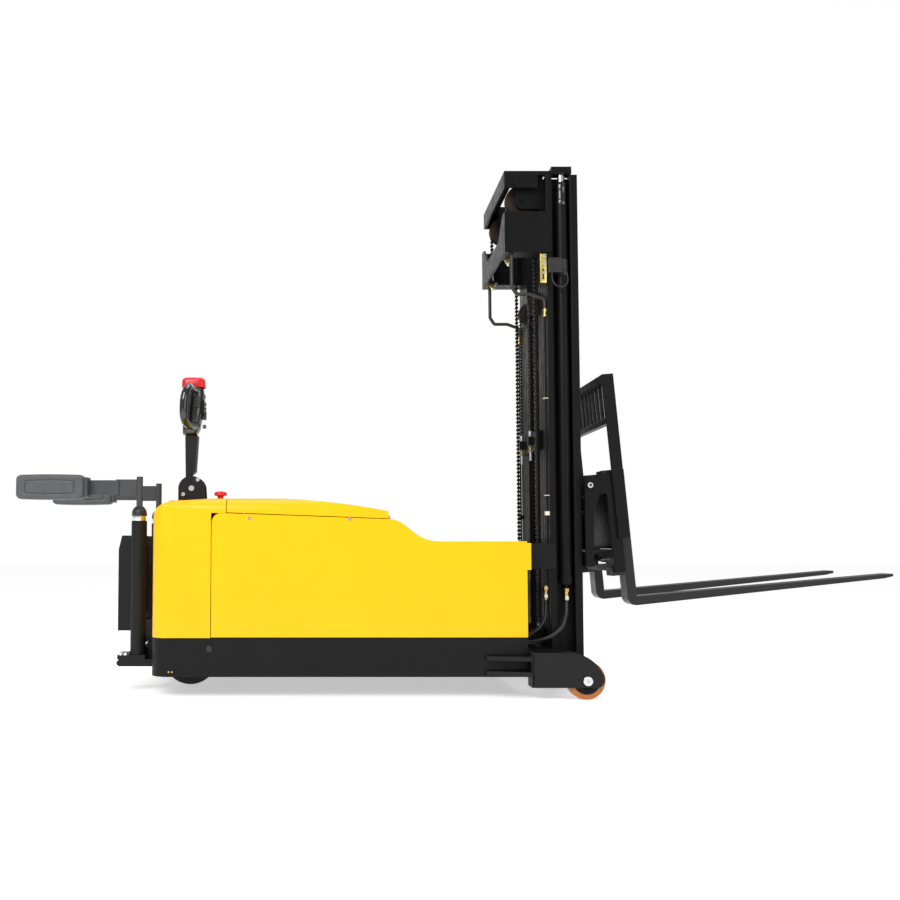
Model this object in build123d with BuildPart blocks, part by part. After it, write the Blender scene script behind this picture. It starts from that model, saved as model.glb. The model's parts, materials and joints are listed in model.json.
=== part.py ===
from build123d import *
import math
import os

os.makedirs("parts", exist_ok=True)

# A counterbalanced walkie stacker: +X towards the fork tips, +Y to the left, +Z up, millimetres.
# Its frame stands on the floor under the middle of the machine's box.

# ---- Driving dimensions: overall ---------------------------------------------------------------
front_reach = 1398.0        # load wheel axle to the fork tips
rear_reach = 2448.0         # load wheel axle to the ends of the arm pads
axle_x = (rear_reach - front_reach) / 2
body_half = 450.0           # half the width over the side covers
skin = 4.0                  # sheet covers
plate = 12.0                # frame plates
seam = 3.0                  # gap between neighbouring covers
run = 0.05                  # radial clearance of a turning fit
slide_gap = 0.5             # clearance beside a sliding piece
seat_gap = 0.3              # between a piece and what it hangs or stands on

# ---- Body stations along X and levels ----------------------------------------------------------
body_rear = axle_x - 1846.0
body_front = axle_x - 231.0
cover_seam_x = axle_x - 1570.0
hood_rear = axle_x - 1507.0
hood_front = axle_x - 818.0
deck_start = axle_x - 600.0
skirt_low = 87.0
skirt_top = 250.0
deck_z = 658.0
hood_seam_rear_z = 778.0
hood_seam_front_z = 752.0
hood_front_top_z = 786.0
body_top_z = 842.0
corner_r = 80.0
top_round = 55.0
hinge_x = hood_front + 10.0     # hood hinge axis, ahead of the hood's front face
hinge_z = 764.0
hinge_at_y = 250.0
hinge_r = 8.5
hinge_pin_r = 5.0

# ---- Load wheels and their brackets ------------------------------------------------------------
load_wheel_r = 80.0
load_hub_r = 58.0
load_wheel_half = 26.0
load_wheel_y = body_half + 26.0
axle_bolt_r = 10.0
bracket_out = body_half + 70.0
bracket_in = body_half - 18.0
bracket_rear = axle_x - 230.0
bracket_low = 51.0
bracket_top = 195.0
boss_gap = 0.5

# ---- Drive unit, steering and tiller -----------------------------------------------------------
steer_x = axle_x - 1712.0
drive_wheel_r = 125.0
drive_hub_r = 92.0
drive_wheel_half = 37.5
drive_axle_r = 16.0
drive_dish_r = 70.0
steer_ring_r = 118.0
drive_plate_z = 300.0
drive_plate_t = 15.0
motor_r = 85.0
motor_top = 640.0
column_r = 32.0
tiller_base_z = 851.0
tiller_pivot_z = 906.0
tiller_pin_r = 9.0
cheek_y = 42.0
cheek_t = 8.0
cheek_half_x = 62.0
arm_top_z = 1156.0
head_top_z = 1388.0
head_depth = 104.0
head_half_y = 52.0
loop_half_y = 165.0
loop_tube_r = 15.0

stop_at = (axle_x - 1571.0, -100.0)
stop_stem_r = 15.5

# ---- Operator platform and side arms -----------------------------------------------------------
post_x = axle_x - 1915.0
post_y = 250.0
post_r = 34.0
post_low = 161.0
post_top = 749.0
arm_rod_r = 14.0
arm_rod_low = 440.0
arm_rod_top = 946.0
arm_bar_low = 860.0
arm_bar_high = 934.0
pad_low = 841.0
pad_high = 954.0
pad_front = axle_x - 2149.0
pad_rear = axle_x - rear_reach
pad_y = 290.0
pad_half = 32.0
platform_hinge_x = axle_x - 1921.0
platform_hinge_z = 215.0
platform_half = 195.0
platform_top = 685.0
platform_low = 258.0
platform_rear = axle_x - 2017.0
platform_front = axle_x - 1881.0
platform_mat_t = 14.0
platform_pin_r = 8.0

# ---- Mast: three nested pairs of rails ---------------------------------------------------------
rail_front = axle_x + 37.0
rail_rear = axle_x - 103.0
front_flange = 34.0
rear_flange = 26.0
mast_low = 72.0
mast_top = 2300.0
outer_out = 320.0           # half the width over the outer rails
outer_web = (250.0, 264.0)
outer_in = 224.0
middle_out = 220.0
middle_web = (192.0, 206.0)
middle_in = 176.0
inner_out = 172.0
inner_web = (144.0, 158.0)
inner_in = 128.0
inner_low = 100.0
inner_top = 2270.0

# ---- Side lift cylinders and lift chains -------------------------------------------------------
cylinder_x = axle_x - 30.0
cylinder_y = 292.0
barrel_r = 26.5
barrel_bore = 20.0
lift_rod_r = 17.5
barrel_low = 470.0
gland_low = 2156.0
gland_top = 2266.0
rod_low = 640.0
head_plate_z = (2300.0, 2332.0)
box_rear = axle_x - 285.0
chain_y = 220.0
chain_half = 10.0
chain_t = 16.0
chain_wheel_r = 60.0        # to the middle of the chain
chain_wheel_x = axle_x - 198.0
chain_wheel_z = 2205.0
crosshead_z = (2244.0, 2320.0)
anchor_box_z = (1941.0, 2125.0)
anchor_box_out = 330.0
anchor_box_front = axle_x - 81.0
wheel_pin_r = 14.0

# ---- Free-lift cylinder and its chains ---------------------------------------------------------
free_x = axle_x - 45.0
free_barrel_r = 32.0
free_bore = 25.0
free_rod_r = 22.0
free_low = 112.0
free_top = 1520.0
free_chain_y = 105.0
free_chain_half = 8.0
free_wheel_r = 45.0
free_wheel_x = axle_x - 97.0
free_wheel_z = 1760.0
free_pin_r = 11.0
anchor_plate_z = (1076.0, 1164.0)
anchor_plate_x = axle_x - 128.0

# ---- Carriage and tilting fork frame -----------------------------------------------------------
carriage_low = 548.0
carriage_high = 945.0
carriage_back = axle_x + 44.0
side_plate_y = (346.0, 358.0)
tilt_x = axle_x + 64.0
tilt_z = 902.0
tilt_back = 5.0             # degrees, at rest
tilt_pin_r = 10.0
bar_back = 85.0             # fork bars, measured forward of the tilt pin
bar_front = 125.0
upper_bar_z = (-40.0, 45.0)
lower_bar_z = (-385.0, -290.0)
ear_y = (310.0, 330.0)
post_depth = (105.0, 155.0)
backrest_z = (-240.0, 482.0)
fork_y = 260.0
fork_half = 48.0
shank = (128.0, 168.0)
fork_length = 1127.0
blade_top = -500.0
blade_t = 39.0
tip_t = 11.0
heel_r = 36.0
hook_t = 16.0
ram_y = 180.0
ram_r = 28.0
ram_rod_r = 15.0

SIDES = {"right": -1, "left": 1}


# ---- Helpers -----------------------------------------------------------------------------------
def block(x, y, z, mode=Mode.ADD):
    """A box between two corners, each of x, y and z a (low, high) pair."""
    with Locations(((x[0] + x[1]) / 2, (y[0] + y[1]) / 2, (z[0] + z[1]) / 2)):
        Box(x[1] - x[0], y[1] - y[0], z[1] - z[0], mode=mode)


def across(side, near, far):
    """The (low, high) Y pair of something between two distances from the middle, on one side."""
    return tuple(sorted((side * near, side * far)))


def bar(radius, start, end, mode=Mode.ADD):
    """A round bar between two points."""
    along = Vector(*end) - Vector(*start)
    middle = (Vector(*end) + Vector(*start)) * 0.5
    with Locations(Plane(origin=middle, z_dir=along)):
        Cylinder(radius, along.length, mode=mode)


def solid_block(x, y, z):
    """A box as a piece of its own."""
    with BuildPart() as piece:
        block(x, y, z)
    return piece.part


def solid_bar(radius, start, end, bore=0.0):
    """A round bar or tube as a piece of its own."""
    with BuildPart() as piece:
        bar(radius, start, end)
        if bore:
            bar(bore, start, end, Mode.SUBTRACT)
    return piece.part


def solids_of(pieces):
    """Every separate solid of a list of parts."""
    return [solid for piece in pieces for solid in piece.solids()]


def save(node, *pieces):
    """Writes one node, which is one solid or a group of separate ones."""
    found = solids_of(pieces)
    shape = found[0] if len(found) == 1 else Compound(children=found)
    shape.label = node
    export_step(shape, f"parts/{node}.step")


def hose(radius, points, radii):
    """A hose or pipe along straight runs joined by tangent arcs."""
    with BuildPart() as piece:
        with BuildLine() as path:
            FilletPolyline(*points, radius=radii)
        start = path.line @ 0
        with BuildSketch(Plane(origin=start, z_dir=path.line % 0)):
            Circle(radius)
        sweep(path=path.line)
    return piece.part


# ---- Body envelope: side, plan and front outlines crossed --------------------------------------
def envelope(inset, low):
    """The closed form under the covers, shrunk on every side by inset."""
    rear = body_rear + inset
    top = body_top_z - inset
    half = body_half - inset
    round_r = corner_r - inset
    with BuildPart() as form:
        with BuildSketch(Plane.XZ.offset(-half - 50)):
            with BuildLine():
                Line((hood_front, low), (rear - 4, low))
                Line((rear - 4, low), (rear - 4, 722))
                ThreePointArc((rear - 4, 722), (rear + 33, 796 - inset), (rear + 112, 829 - inset))
                ThreePointArc(
                    (rear + 112, 829 - inset),
                    ((rear + hood_front) / 2 + 60, top),
                    (hood_front, hood_front_top_z - inset),
                )
                Line((hood_front, hood_front_top_z - inset), (hood_front, low))
            make_face()
        extrude(amount=2 * half + 100)
        with BuildSketch(Plane.XY.offset(low)):
            with BuildLine():
                Line((hood_front, -half), (rear + 16 + round_r, -half))
                RadiusArc((rear + 16 + round_r, -half), (rear + 16, -half + round_r), round_r)
                ThreePointArc((rear + 16, -half + round_r), (rear, 0), (rear + 16, half - round_r))
                RadiusArc((rear + 16, half - round_r), (rear + 16 + round_r, half), round_r)
                Line((rear + 16 + round_r, half), (hood_front, half))
                Line((hood_front, half), (hood_front, -half))
            make_face()
        extrude(amount=top, mode=Mode.INTERSECT)
        with BuildSketch(Plane.YZ.offset(rear - 10)):
            with Locations((0, (low + top) / 2)):
                RectangleRounded(2 * half, top - low, top_round - inset)
            with Locations((0, low + 60)):
                Rectangle(2 * half, 120)
        extrude(amount=hood_front - rear + 20, mode=Mode.INTERSECT)
    return form.part


outer_form = envelope(0, skirt_low)
inner_form = envelope(skin, skirt_low)


# ---- Covers ------------------------------------------------------------------------------------
def side_cover(side):
    """A sheet side cover with a folded lip at its front, and screw holes near its top."""
    outer_face = side * body_half
    low = skirt_top + seam
    with BuildPart() as cover:
        with BuildSketch(Plane.XZ.offset(-outer_face)):
            with BuildLine():
                Line((cover_seam_x, low), (cover_seam_x, hood_seam_rear_z - 43))
                RadiusArc(
                    (cover_seam_x, hood_seam_rear_z - 43), (cover_seam_x + 40, hood_seam_rear_z), 41
                )
                Line((cover_seam_x + 40, hood_seam_rear_z), (hood_front, hood_seam_front_z))
                Spline(
                    (hood_front, hood_seam_front_z),
                    (hood_front + 32, hood_seam_front_z - 6),
                    (deck_start, deck_z),
                    tangents=((1, 0), (1, 0)),
                )
                Line((deck_start, deck_z), (body_front, deck_z))
                Line((body_front, deck_z), (body_front, low))
                Line((body_front, low), (cover_seam_x, low))
            make_face()
        extrude(amount=side * skin)
        block(
            (body_front - 1, body_front + 17),
            across(side, body_half - skin, body_half),
            (537, 650),
        )
        with Locations(Plane(origin=(0, outer_face, 0), x_dir=(1, 0, 0), z_dir=(0, -1, 0))):
            with Locations((axle_x - 1409, 754), (axle_x - 982, 754)):
                Cylinder(3.5, 30, mode=Mode.SUBTRACT)
    return cover.part


for name, side in SIDES.items():
    save(f"{name}_side_cover", side_cover(side))

with BuildPart() as rear_cover:
    add(outer_form)
    add(inner_form, mode=Mode.SUBTRACT)
    block((body_rear - 5, hood_front + 5), (-600, 600), (0, skirt_top), Mode.SUBTRACT)
    block((cover_seam_x - seam, hood_front + 5), (-600, 600), (0, hood_seam_rear_z + 0.5), Mode.SUBTRACT)
    block((hood_rear - seam, hood_front + 5), (-600, 600), (700, 900), Mode.SUBTRACT)
    with Locations((steer_x, 0, (815 + tiller_base_z - seam) / 2)):
        Cylinder(112, tiller_base_z - seam - 815)
    bar(column_r + 8, (steer_x, 0, 780), (steer_x, 0, 900), Mode.SUBTRACT)
    bar(106, (steer_x, 0, 800), (steer_x, 0, tiller_base_z - seam - 5), Mode.SUBTRACT)
    bar(24, (*stop_at, 815), (*stop_at, 852))
    bar(stop_stem_r + run, (*stop_at, 780), (*stop_at, 900), Mode.SUBTRACT)
save("rear_cover", rear_cover.part)

with BuildPart() as battery_hood:
    add(outer_form)
    add(inner_form, mode=Mode.SUBTRACT)
    block((body_rear - 5, hood_rear), (-600, 600), (0, 900), Mode.SUBTRACT)
    with BuildSketch(Plane.XZ.offset(-600)):
        Polygon(
            (hood_rear - 5, 0),
            (hood_front + 5, 0),
            (hood_front + 5, hood_seam_front_z + seam),
            (hood_rear - 5, hood_seam_rear_z + seam),
            align=None,
        )
    extrude(amount=1200, mode=Mode.SUBTRACT)
    with BuildSketch(Plane.YZ.offset(hood_front)):
        Polygon(
            (-body_half + 60, hood_seam_front_z + seam),
            (body_half - 60, hood_seam_front_z + seam),
            (body_half - 60, hood_front_top_z - 2),
            (-body_half + 60, hood_front_top_z - 2),
            align=None,
        )
    extrude(amount=-skin)
    for side in SIDES.values():
        hinge_y = side * hinge_at_y
        block((hood_front - 1, hinge_x), (hinge_y - 15, hinge_y + 15), (hinge_z - 7, hinge_z + 7))
        bar(hinge_r, (hinge_x, hinge_y - 15, hinge_z), (hinge_x, hinge_y + 15, hinge_z))
        bar(
            hinge_pin_r + run,
            (hinge_x, hinge_y - 16, hinge_z),
            (hinge_x, hinge_y + 16, hinge_z),
            Mode.SUBTRACT,
        )
save("battery_hood", battery_hood.part)

with BuildPart() as front_deck:
    with BuildSketch(Plane.XZ.offset(-body_half + skin + 1)):
        with BuildLine():
            Spline(
                (hood_front + 4, hood_seam_front_z),
                (hood_front + 36, hood_seam_front_z - 6),
                (deck_start, deck_z),
                tangents=((1, 0), (1, 0)),
            )
            Line((deck_start, deck_z), (body_front, deck_z))
            Line((body_front, deck_z), (body_front, deck_z - skin))
            Line((body_front, deck_z - skin), (deck_start, deck_z - skin))
            Spline(
                (deck_start, deck_z - skin),
                (hood_front + 36, hood_seam_front_z - 6 - skin),
                (hood_front + 4, hood_seam_front_z - skin),
                tangents=((-1, 0), (-1, 0)),
            )
            Line((hood_front + 4, hood_seam_front_z - skin), (hood_front + 4, hood_seam_front_z))
        make_face()
    extrude(amount=2 * (body_half - skin - 1))
    for side in SIDES.values():
        for near, far in ((16, 32), (-32, -16)):
            low_y, high_y = side * hinge_at_y + near, side * hinge_at_y + far
            block((hinge_x - 4, hinge_x + 8), (low_y, high_y), (hinge_z - 16.5, hinge_z))
            bar(hinge_r, (hinge_x, low_y, hinge_z), (hinge_x, high_y, hinge_z))
            bar(hinge_pin_r, (hinge_x, low_y - 1, hinge_z), (hinge_x, high_y + 1, hinge_z), Mode.SUBTRACT)
save("front_deck", front_deck.part)

# ---- Chassis frame: welded plates --------------------------------------------------------------
sill_rear = body_rear + 16 + corner_r
wall_x = body_front - plate


foot_beam_x = body_rear + 90


def chassis_pieces():
    """The plates that are welded into the chassis."""
    pieces = []
    for side in SIDES.values():
        with BuildPart() as sill:
            block(
                (sill_rear, body_front),
                across(side, body_half - plate, body_half),
                (skirt_low, skirt_top),
            )
        pieces.append(sill.part)
        pieces.append(
            solid_block(
                (sill_rear + 40, wall_x),
                across(side, body_half - 52, body_half - skin - 8),
                (skirt_top, skirt_top + 8),
            )
        )
        pieces.append(
            solid_block(
                (body_front, anchor_box_front),
                across(side, outer_out, outer_out + plate),
                (537, 650),
            )
        )
        pieces.append(
            solid_block(
                (body_front, rail_rear + 40),
                across(side, outer_out, outer_out + plate),
                (92, 190),
            )
        )
    with BuildPart() as rear_skirt:
        add(outer_form)
        add(inner_form, mode=Mode.SUBTRACT)
        block((sill_rear, hood_front + 5), (-600, 600), (0, 900), Mode.SUBTRACT)
        block((body_rear - 5, sill_rear + 5), (-600, 600), (skirt_top, 900), Mode.SUBTRACT)
        for side in SIDES.values():
            block(
                (body_rear - 5, foot_beam_x),
                across(side, post_y - 40, post_y + 40),
                (110, 144),
                Mode.SUBTRACT,
            )
    pieces.append(rear_skirt.part)
    wide = (-body_half + plate, body_half - plate)
    for side in SIDES.values():
        pieces.append(
            solid_block(
                (foot_beam_x, foot_beam_x + plate),
                across(side, post_y - 60, body_half - plate),
                (100, 190),
            )
        )
    with BuildPart() as drive_plate:
        block((body_rear + 70, axle_x - 1500), wide, (drive_plate_z, drive_plate_z + drive_plate_t))
        for side in SIDES.values():
            block(
                (body_rear + 110, axle_x - 1500),
                across(side, body_half - plate - 10, body_half - plate),
                (skirt_top + 8, drive_plate_z + 1),
            )
        bar(steer_ring_r, (steer_x, 0, 280), (steer_x, 0, 330), Mode.SUBTRACT)
    pieces.append(drive_plate.part)
    pieces.append(solid_block((axle_x - 1500, axle_x - 1492), wide, (skirt_low + 10, 560)))
    pieces.append(solid_block((axle_x - 1492, axle_x - 790), wide, (skirt_low + 10, skirt_low + 18)))
    pieces.append(solid_block((axle_x - 790, axle_x - 782), wide, (skirt_low + 10, 640)))
    pieces.append(solid_block((axle_x - 782, wall_x), wide, (skirt_low + 10, skirt_low + 18)))
    with BuildPart() as wall:
        block((wall_x, body_front), wide, (skirt_low, deck_z - skin))
        for side in SIDES.values():
            bar(16, (wall_x - 5, side * 310, 222), (body_front + 5, side * 310, 222), Mode.SUBTRACT)
    pieces.append(wall.part)
    return pieces


save("chassis_frame", *chassis_pieces())

# ---- Battery, hydraulic unit and controller ----------------------------------------------------
battery_x = (axle_x - 1470, axle_x - 815)
battery_floor = skirt_low + 18
with BuildPart() as battery_case:
    block(battery_x, (-330, 330), (battery_floor, 610))
    block(
        (battery_x[0] + 8, battery_x[1] - 8), (-322, 322), (battery_floor + 8, 612), Mode.SUBTRACT
    )
    for side in SIDES.values():
        block((battery_x[0] + 250, battery_x[1] - 250), across(side, 300, 340), (560, 580), Mode.SUBTRACT)
cell_pitch_x = (battery_x[1] - battery_x[0] - 24) / 3
cell_pitch_y = 634 / 4
battery_solids = [battery_case.part]
for column in range(3):
    for row in range(4):
        cell_x = battery_x[0] + 12 + column * cell_pitch_x
        cell_y = -317 + row * cell_pitch_y
        with BuildPart() as cell:
            block(
                (cell_x + 1, cell_x + cell_pitch_x - 1),
                (cell_y + 1, cell_y + cell_pitch_y - 1),
                (battery_floor + 8, 585),
            )
            bar(
                17,
                (cell_x + cell_pitch_x / 2, cell_y + cell_pitch_y / 2, 585),
                (cell_x + cell_pitch_x / 2, cell_y + cell_pitch_y / 2, 604),
            )
        battery_solids.append(cell.part)
save("battery", *battery_solids)

tank_x = (axle_x - 730, axle_x - 470)
with BuildPart() as tank:
    block(tank_x, (-300, 60), (battery_floor, 420))
    fillet(tank.edges().filter_by(Axis.Z), 18)
    bar(24, (tank_x[0] + 60, -200, 420), (tank_x[0] + 60, -200, 445))
with BuildPart() as pump_motor:
    bar(62, (tank_x[1] - 60, 180, battery_floor), (tank_x[1] - 60, 180, 350))
    block(
        (tank_x[1] - 125, tank_x[1] + 5), (115, 245), (350, 420)
    )
with BuildPart() as valve_block:
    block((axle_x - 420, axle_x - 330), (-160, 40), (battery_floor, 260))
    with Locations(*[(axle_x - 375, y, 260) for y in (-130, -90, -50, -10)]):
        Cylinder(14, 60, align=(Align.CENTER, Align.CENTER, Align.MIN))
save("hydraulic_unit", tank.part, pump_motor.part, valve_block.part)

plate_top = drive_plate_z + drive_plate_t
with BuildPart() as motor_controller:
    block((axle_x - 1610, axle_x - 1525), (150, 350), (plate_top, plate_top + 120))
    for fin in range(7):
        fin_y = 160 + fin * 27
        block((axle_x - 1610, axle_x - 1525), (fin_y, fin_y + 8), (plate_top + 119, plate_top + 150))
save("motor_controller", motor_controller.part)

# ---- Wheel brackets, wheels and axle bolts -----------------------------------------------------
def wheel_bracket(side):
    """Outer and inner wheel plates, their rear wall, two gussets and the beam to the mast foot."""
    with BuildPart() as bracket:
        for near, far in ((bracket_out - plate, bracket_out), (bracket_in, bracket_in + plate)):
            with BuildSketch(Plane.XZ.offset(-side * near)):
                with BuildLine():
                    Line((bracket_rear, bracket_low), (bracket_rear, bracket_top))
                    Line((bracket_rear, bracket_top), (axle_x - 74, bracket_top))
                    ThreePointArc((axle_x - 74, bracket_top), (axle_x + 24, 161), (axle_x + 72, 92))
                    ThreePointArc((axle_x + 72, 92), (axle_x + 67, 68), (axle_x + 48, bracket_low))
                    Line((axle_x + 48, bracket_low), (bracket_rear, bracket_low))
                make_face()
            extrude(amount=-side * (far - near))
        block(
            (bracket_rear, bracket_rear + plate),
            across(side, bracket_in, bracket_out),
            (bracket_low, bracket_top),
        )
        block(
            (bracket_rear, axle_x - 100),
            across(side, outer_out + plate, bracket_in + 1),
            (92, 180),
        )
        for gusset_z in (96, 158):
            with BuildSketch(Plane.XY.offset(gusset_z)):
                with BuildLine():
                    Line((bracket_rear + 2, side * body_half), (axle_x - 405, side * body_half))
                    ThreePointArc(
                        (axle_x - 405, side * body_half),
                        (axle_x - 412, side * (body_half + 14)),
                        (axle_x - 395, side * (body_half + 24)),
                    )
                    Line(
                        (axle_x - 395, side * (body_half + 24)),
                        (bracket_rear + 2, side * (bracket_out - 4)),
                    )
                    Line((bracket_rear + 2, side * (bracket_out - 4)), (bracket_rear + 2, side * body_half))
                make_face()
            extrude(amount=18)
        bar(
            axle_bolt_r,
            (axle_x, side * (bracket_in - 5), load_wheel_r),
            (axle_x, side * (bracket_out + 5), load_wheel_r),
            Mode.SUBTRACT,
        )
    return bracket.part


def load_wheel(side):
    """Polyurethane tread on a hub with a bearing boss on each side."""
    centre = side * load_wheel_y
    with BuildPart() as tread:
        with BuildSketch(Plane(origin=(axle_x, centre, load_wheel_r), x_dir=(1, 0, 0), z_dir=(0, 1, 0))):
            Circle(load_wheel_r)
            Circle(load_hub_r, mode=Mode.SUBTRACT)
        extrude(amount=load_wheel_half, both=True)
        rims = tread.edges().filter_by(GeomType.CIRCLE).sort_by(SortBy.RADIUS)[-2:]
        fillet(rims, 5)
    half = (bracket_out - bracket_in) / 2 - plate - boss_gap
    with BuildPart() as hub:
        bar(
            load_hub_r,
            (axle_x, centre - load_wheel_half, load_wheel_r),
            (axle_x, centre + load_wheel_half, load_wheel_r),
        )
        for face in (-1, 1):
            bar(
                46,
                (axle_x, centre + face * (load_wheel_half - 6), load_wheel_r),
                (axle_x, centre + face * (load_wheel_half + 5), load_wheel_r),
                Mode.SUBTRACT,
            )
        bar(24, (axle_x, centre - half, load_wheel_r), (axle_x, centre + half, load_wheel_r))
        bar(
            axle_bolt_r + run,
            (axle_x, centre - half - 1, load_wheel_r),
            (axle_x, centre + half + 1, load_wheel_r),
            Mode.SUBTRACT,
        )
    return tread.part, hub.part


for name, side in SIDES.items():
    save(f"{name}_wheel_bracket", wheel_bracket(side))
    save(f"{name}_load_wheel", *load_wheel(side))

# ---- Rear brackets, posts and boots ------------------------------------------------------------

def rear_bracket(side):
    """The bar, foot plate and bolts under a post, and the platform ear beside it."""
    with BuildPart() as bracket:
        block((post_x - 87, foot_beam_x), across(side, post_y - 38, post_y + 38), (112, 142))
        chamfer(bracket.edges().filter_by(Axis.Y).sort_by(Axis.X)[:2], 10)
        block((post_x - 84, post_x + 38), across(side, post_y - 38, post_y + 38), (142, post_low))
        for bolt_x in (post_x - 70, post_x - 48):
            for bolt_y in (post_y - 26, post_y + 26):
                with BuildSketch(Plane.XY.offset(post_low)):
                    with Locations((bolt_x, side * bolt_y)):
                        RegularPolygon(9, 6)
                extrude(amount=8)
        block(
            (platform_hinge_x - 22, platform_hinge_x + 22),
            across(side, platform_half + 6, post_y - post_r - seat_gap),
            (142, platform_hinge_z + 26),
        )
        block(
            (post_x - 34, body_rear - 2),
            across(side, platform_half + 6, post_y - post_r - seat_gap),
            (142, 190),
        )
        bar(
            platform_pin_r,
            (platform_hinge_x, side * (platform_half - 5), platform_hinge_z),
            (platform_hinge_x, side * post_y, platform_hinge_z),
            Mode.SUBTRACT,
        )
    return bracket.part


save("rear_brackets", *[rear_bracket(side) for side in SIDES.values()])


def post_pieces(side):
    """A post tube and the bellows boot around the arm rod at its top."""
    with BuildPart() as tube:
        bar(post_r, (post_x, side * post_y, post_low), (post_x, side * post_y, post_top))
        bar(
            arm_rod_r + run,
            (post_x, side * post_y, arm_rod_low - 10),
            (post_x, side * post_y, post_top + 1),
            Mode.SUBTRACT,
        )
        fillet(tube.edges().filter_by(GeomType.CIRCLE).sort_by(Axis.Z)[-1], 6)
    collar = solid_bar(
        28,
        (post_x, side * post_y, post_top),
        (post_x, side * post_y, post_top + 22),
        arm_rod_r + run,
    )
    with BuildPart() as boot:
        for ring in range(3):
            low = post_top + 22 + ring * 13
            bar(30 - ring * 2, (post_x, side * post_y, low), (post_x, side * post_y, low + 9))
            bar(24 - ring * 2, (post_x, side * post_y, low + 8), (post_x, side * post_y, low + 13))
        bar(
            arm_rod_r + 0.3,
            (post_x, side * post_y, post_top + 20),
            (post_x, side * post_y, post_top + 70),
            Mode.SUBTRACT,
        )
    return tube.part, collar, boot.part


save("armrest_posts", *[piece for side in SIDES.values() for piece in post_pieces(side)])


def side_arm(side):
    """The upright rod, the flat bar behind it and the pad's flange."""
    rod_y = side * post_y
    with BuildPart() as arm:
        bar(arm_rod_r, (post_x, rod_y, arm_rod_low), (post_x, rod_y, arm_rod_top))
        block(
            (axle_x - 2020, post_x + 2),
            across(side, post_y - 4, post_y + 4),
            (arm_bar_low, arm_bar_high),
        )
        block(
            (pad_front + 12, axle_x - 2008),
            across(side, post_y + 4, post_y + 12),
            (arm_bar_low + 4, arm_bar_high - 4),
        )
        block(
            (axle_x - 2021, axle_x - 2007),
            across(side, post_y - 4, post_y + 12),
            (arm_bar_low + 4, arm_bar_high - 4),
        )
        block(
            (pad_front, pad_front + 14),
            across(side, post_y - 2, pad_y + 18),
            (arm_bar_low - 6, arm_bar_high + 6),
        )
    return arm.part


def arm_pad(side):
    """A moulded arm pad with rounded corners."""
    with BuildPart() as pad:
        block((pad_rear, pad_front), across(side, pad_y - pad_half, pad_y + pad_half), (pad_low, pad_high))
        fillet(pad.edges().filter_by(Axis.Y), 26)
        fillet(pad.faces().sort_by(Axis.Y)[-1].edges() + pad.faces().sort_by(Axis.Y)[0].edges(), 9)
    return pad.part


for name, side in SIDES.items():
    save(f"{name}_side_arm", side_arm(side))
    save(f"{name}_arm_pad", arm_pad(side))

# ---- Operator platform, folded up --------------------------------------------------------------
with BuildPart() as step_platform:
    with BuildSketch(Plane.XZ.offset(-platform_half)):
        with BuildLine():
            Polyline(
                (platform_rear, platform_low + 2),
                (platform_rear, platform_top - 62),
                (platform_rear + 14, platform_top),
                (platform_front - 20, platform_top),
                (platform_front - 4, platform_top - 52),
                (platform_front, platform_low + 92),
                (platform_front - 24, platform_low + 52),
                (platform_front - 24, platform_hinge_z - 14),
                (platform_hinge_x - 18, platform_hinge_z - 14),
                (platform_hinge_x - 18, platform_low + 2),
                close=True,
            )
        make_face()
    extrude(amount=2 * platform_half)
    block(
        (platform_front - 46, platform_front + 1),
        (-platform_half + 12, platform_half - 12),
        (platform_low + 40, platform_top + 1),
        Mode.SUBTRACT,
    )
    block(
        (platform_rear + 6, platform_front - 54),
        (-platform_half + 30, platform_half - 30),
        (platform_low - 1, platform_top - 70),
        Mode.SUBTRACT,
    )
    bar(
        platform_pin_r + run,
        (platform_hinge_x, -platform_half - 5, platform_hinge_z),
        (platform_hinge_x, platform_half + 5, platform_hinge_z),
        Mode.SUBTRACT,
    )
save("step_platform", step_platform.part)

save(
    "platform_mat",
    solid_block(
        (platform_front - 46, platform_front - 46 + platform_mat_t),
        (-platform_half + 14, platform_half - 14),
        (platform_low + 44, platform_top - 4),
    ),
)

# ---- Steering: drive unit, wheel and tiller base -----------------------------------------------
with BuildPart() as gearbox:
    bar(steer_ring_r - run, (steer_x, 0, 262), (steer_x, 0, drive_plate_z + drive_plate_t + 12))
    block((steer_x - 62, steer_x + 62), (-92, -drive_wheel_half - 6), (80, 264))
    block((steer_x - 62, steer_x + 62), (-92, 50), (drive_wheel_r * 2 + 4, 264))
    fillet(gearbox.edges().filter_by(Axis.Y).sort_by(Axis.Z)[:2], 40)
    bar(drive_axle_r, (steer_x, -50, drive_wheel_r), (steer_x, drive_wheel_half + 10, drive_wheel_r))
with BuildPart() as traction_motor:
    bar(motor_r, (steer_x, 0, drive_plate_z + drive_plate_t + 12), (steer_x, 0, motor_top - 40))
    bar(motor_r - 14, (steer_x, 0, motor_top - 40), (steer_x, 0, motor_top))
save("drive_unit", gearbox.part, traction_motor.part)

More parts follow.
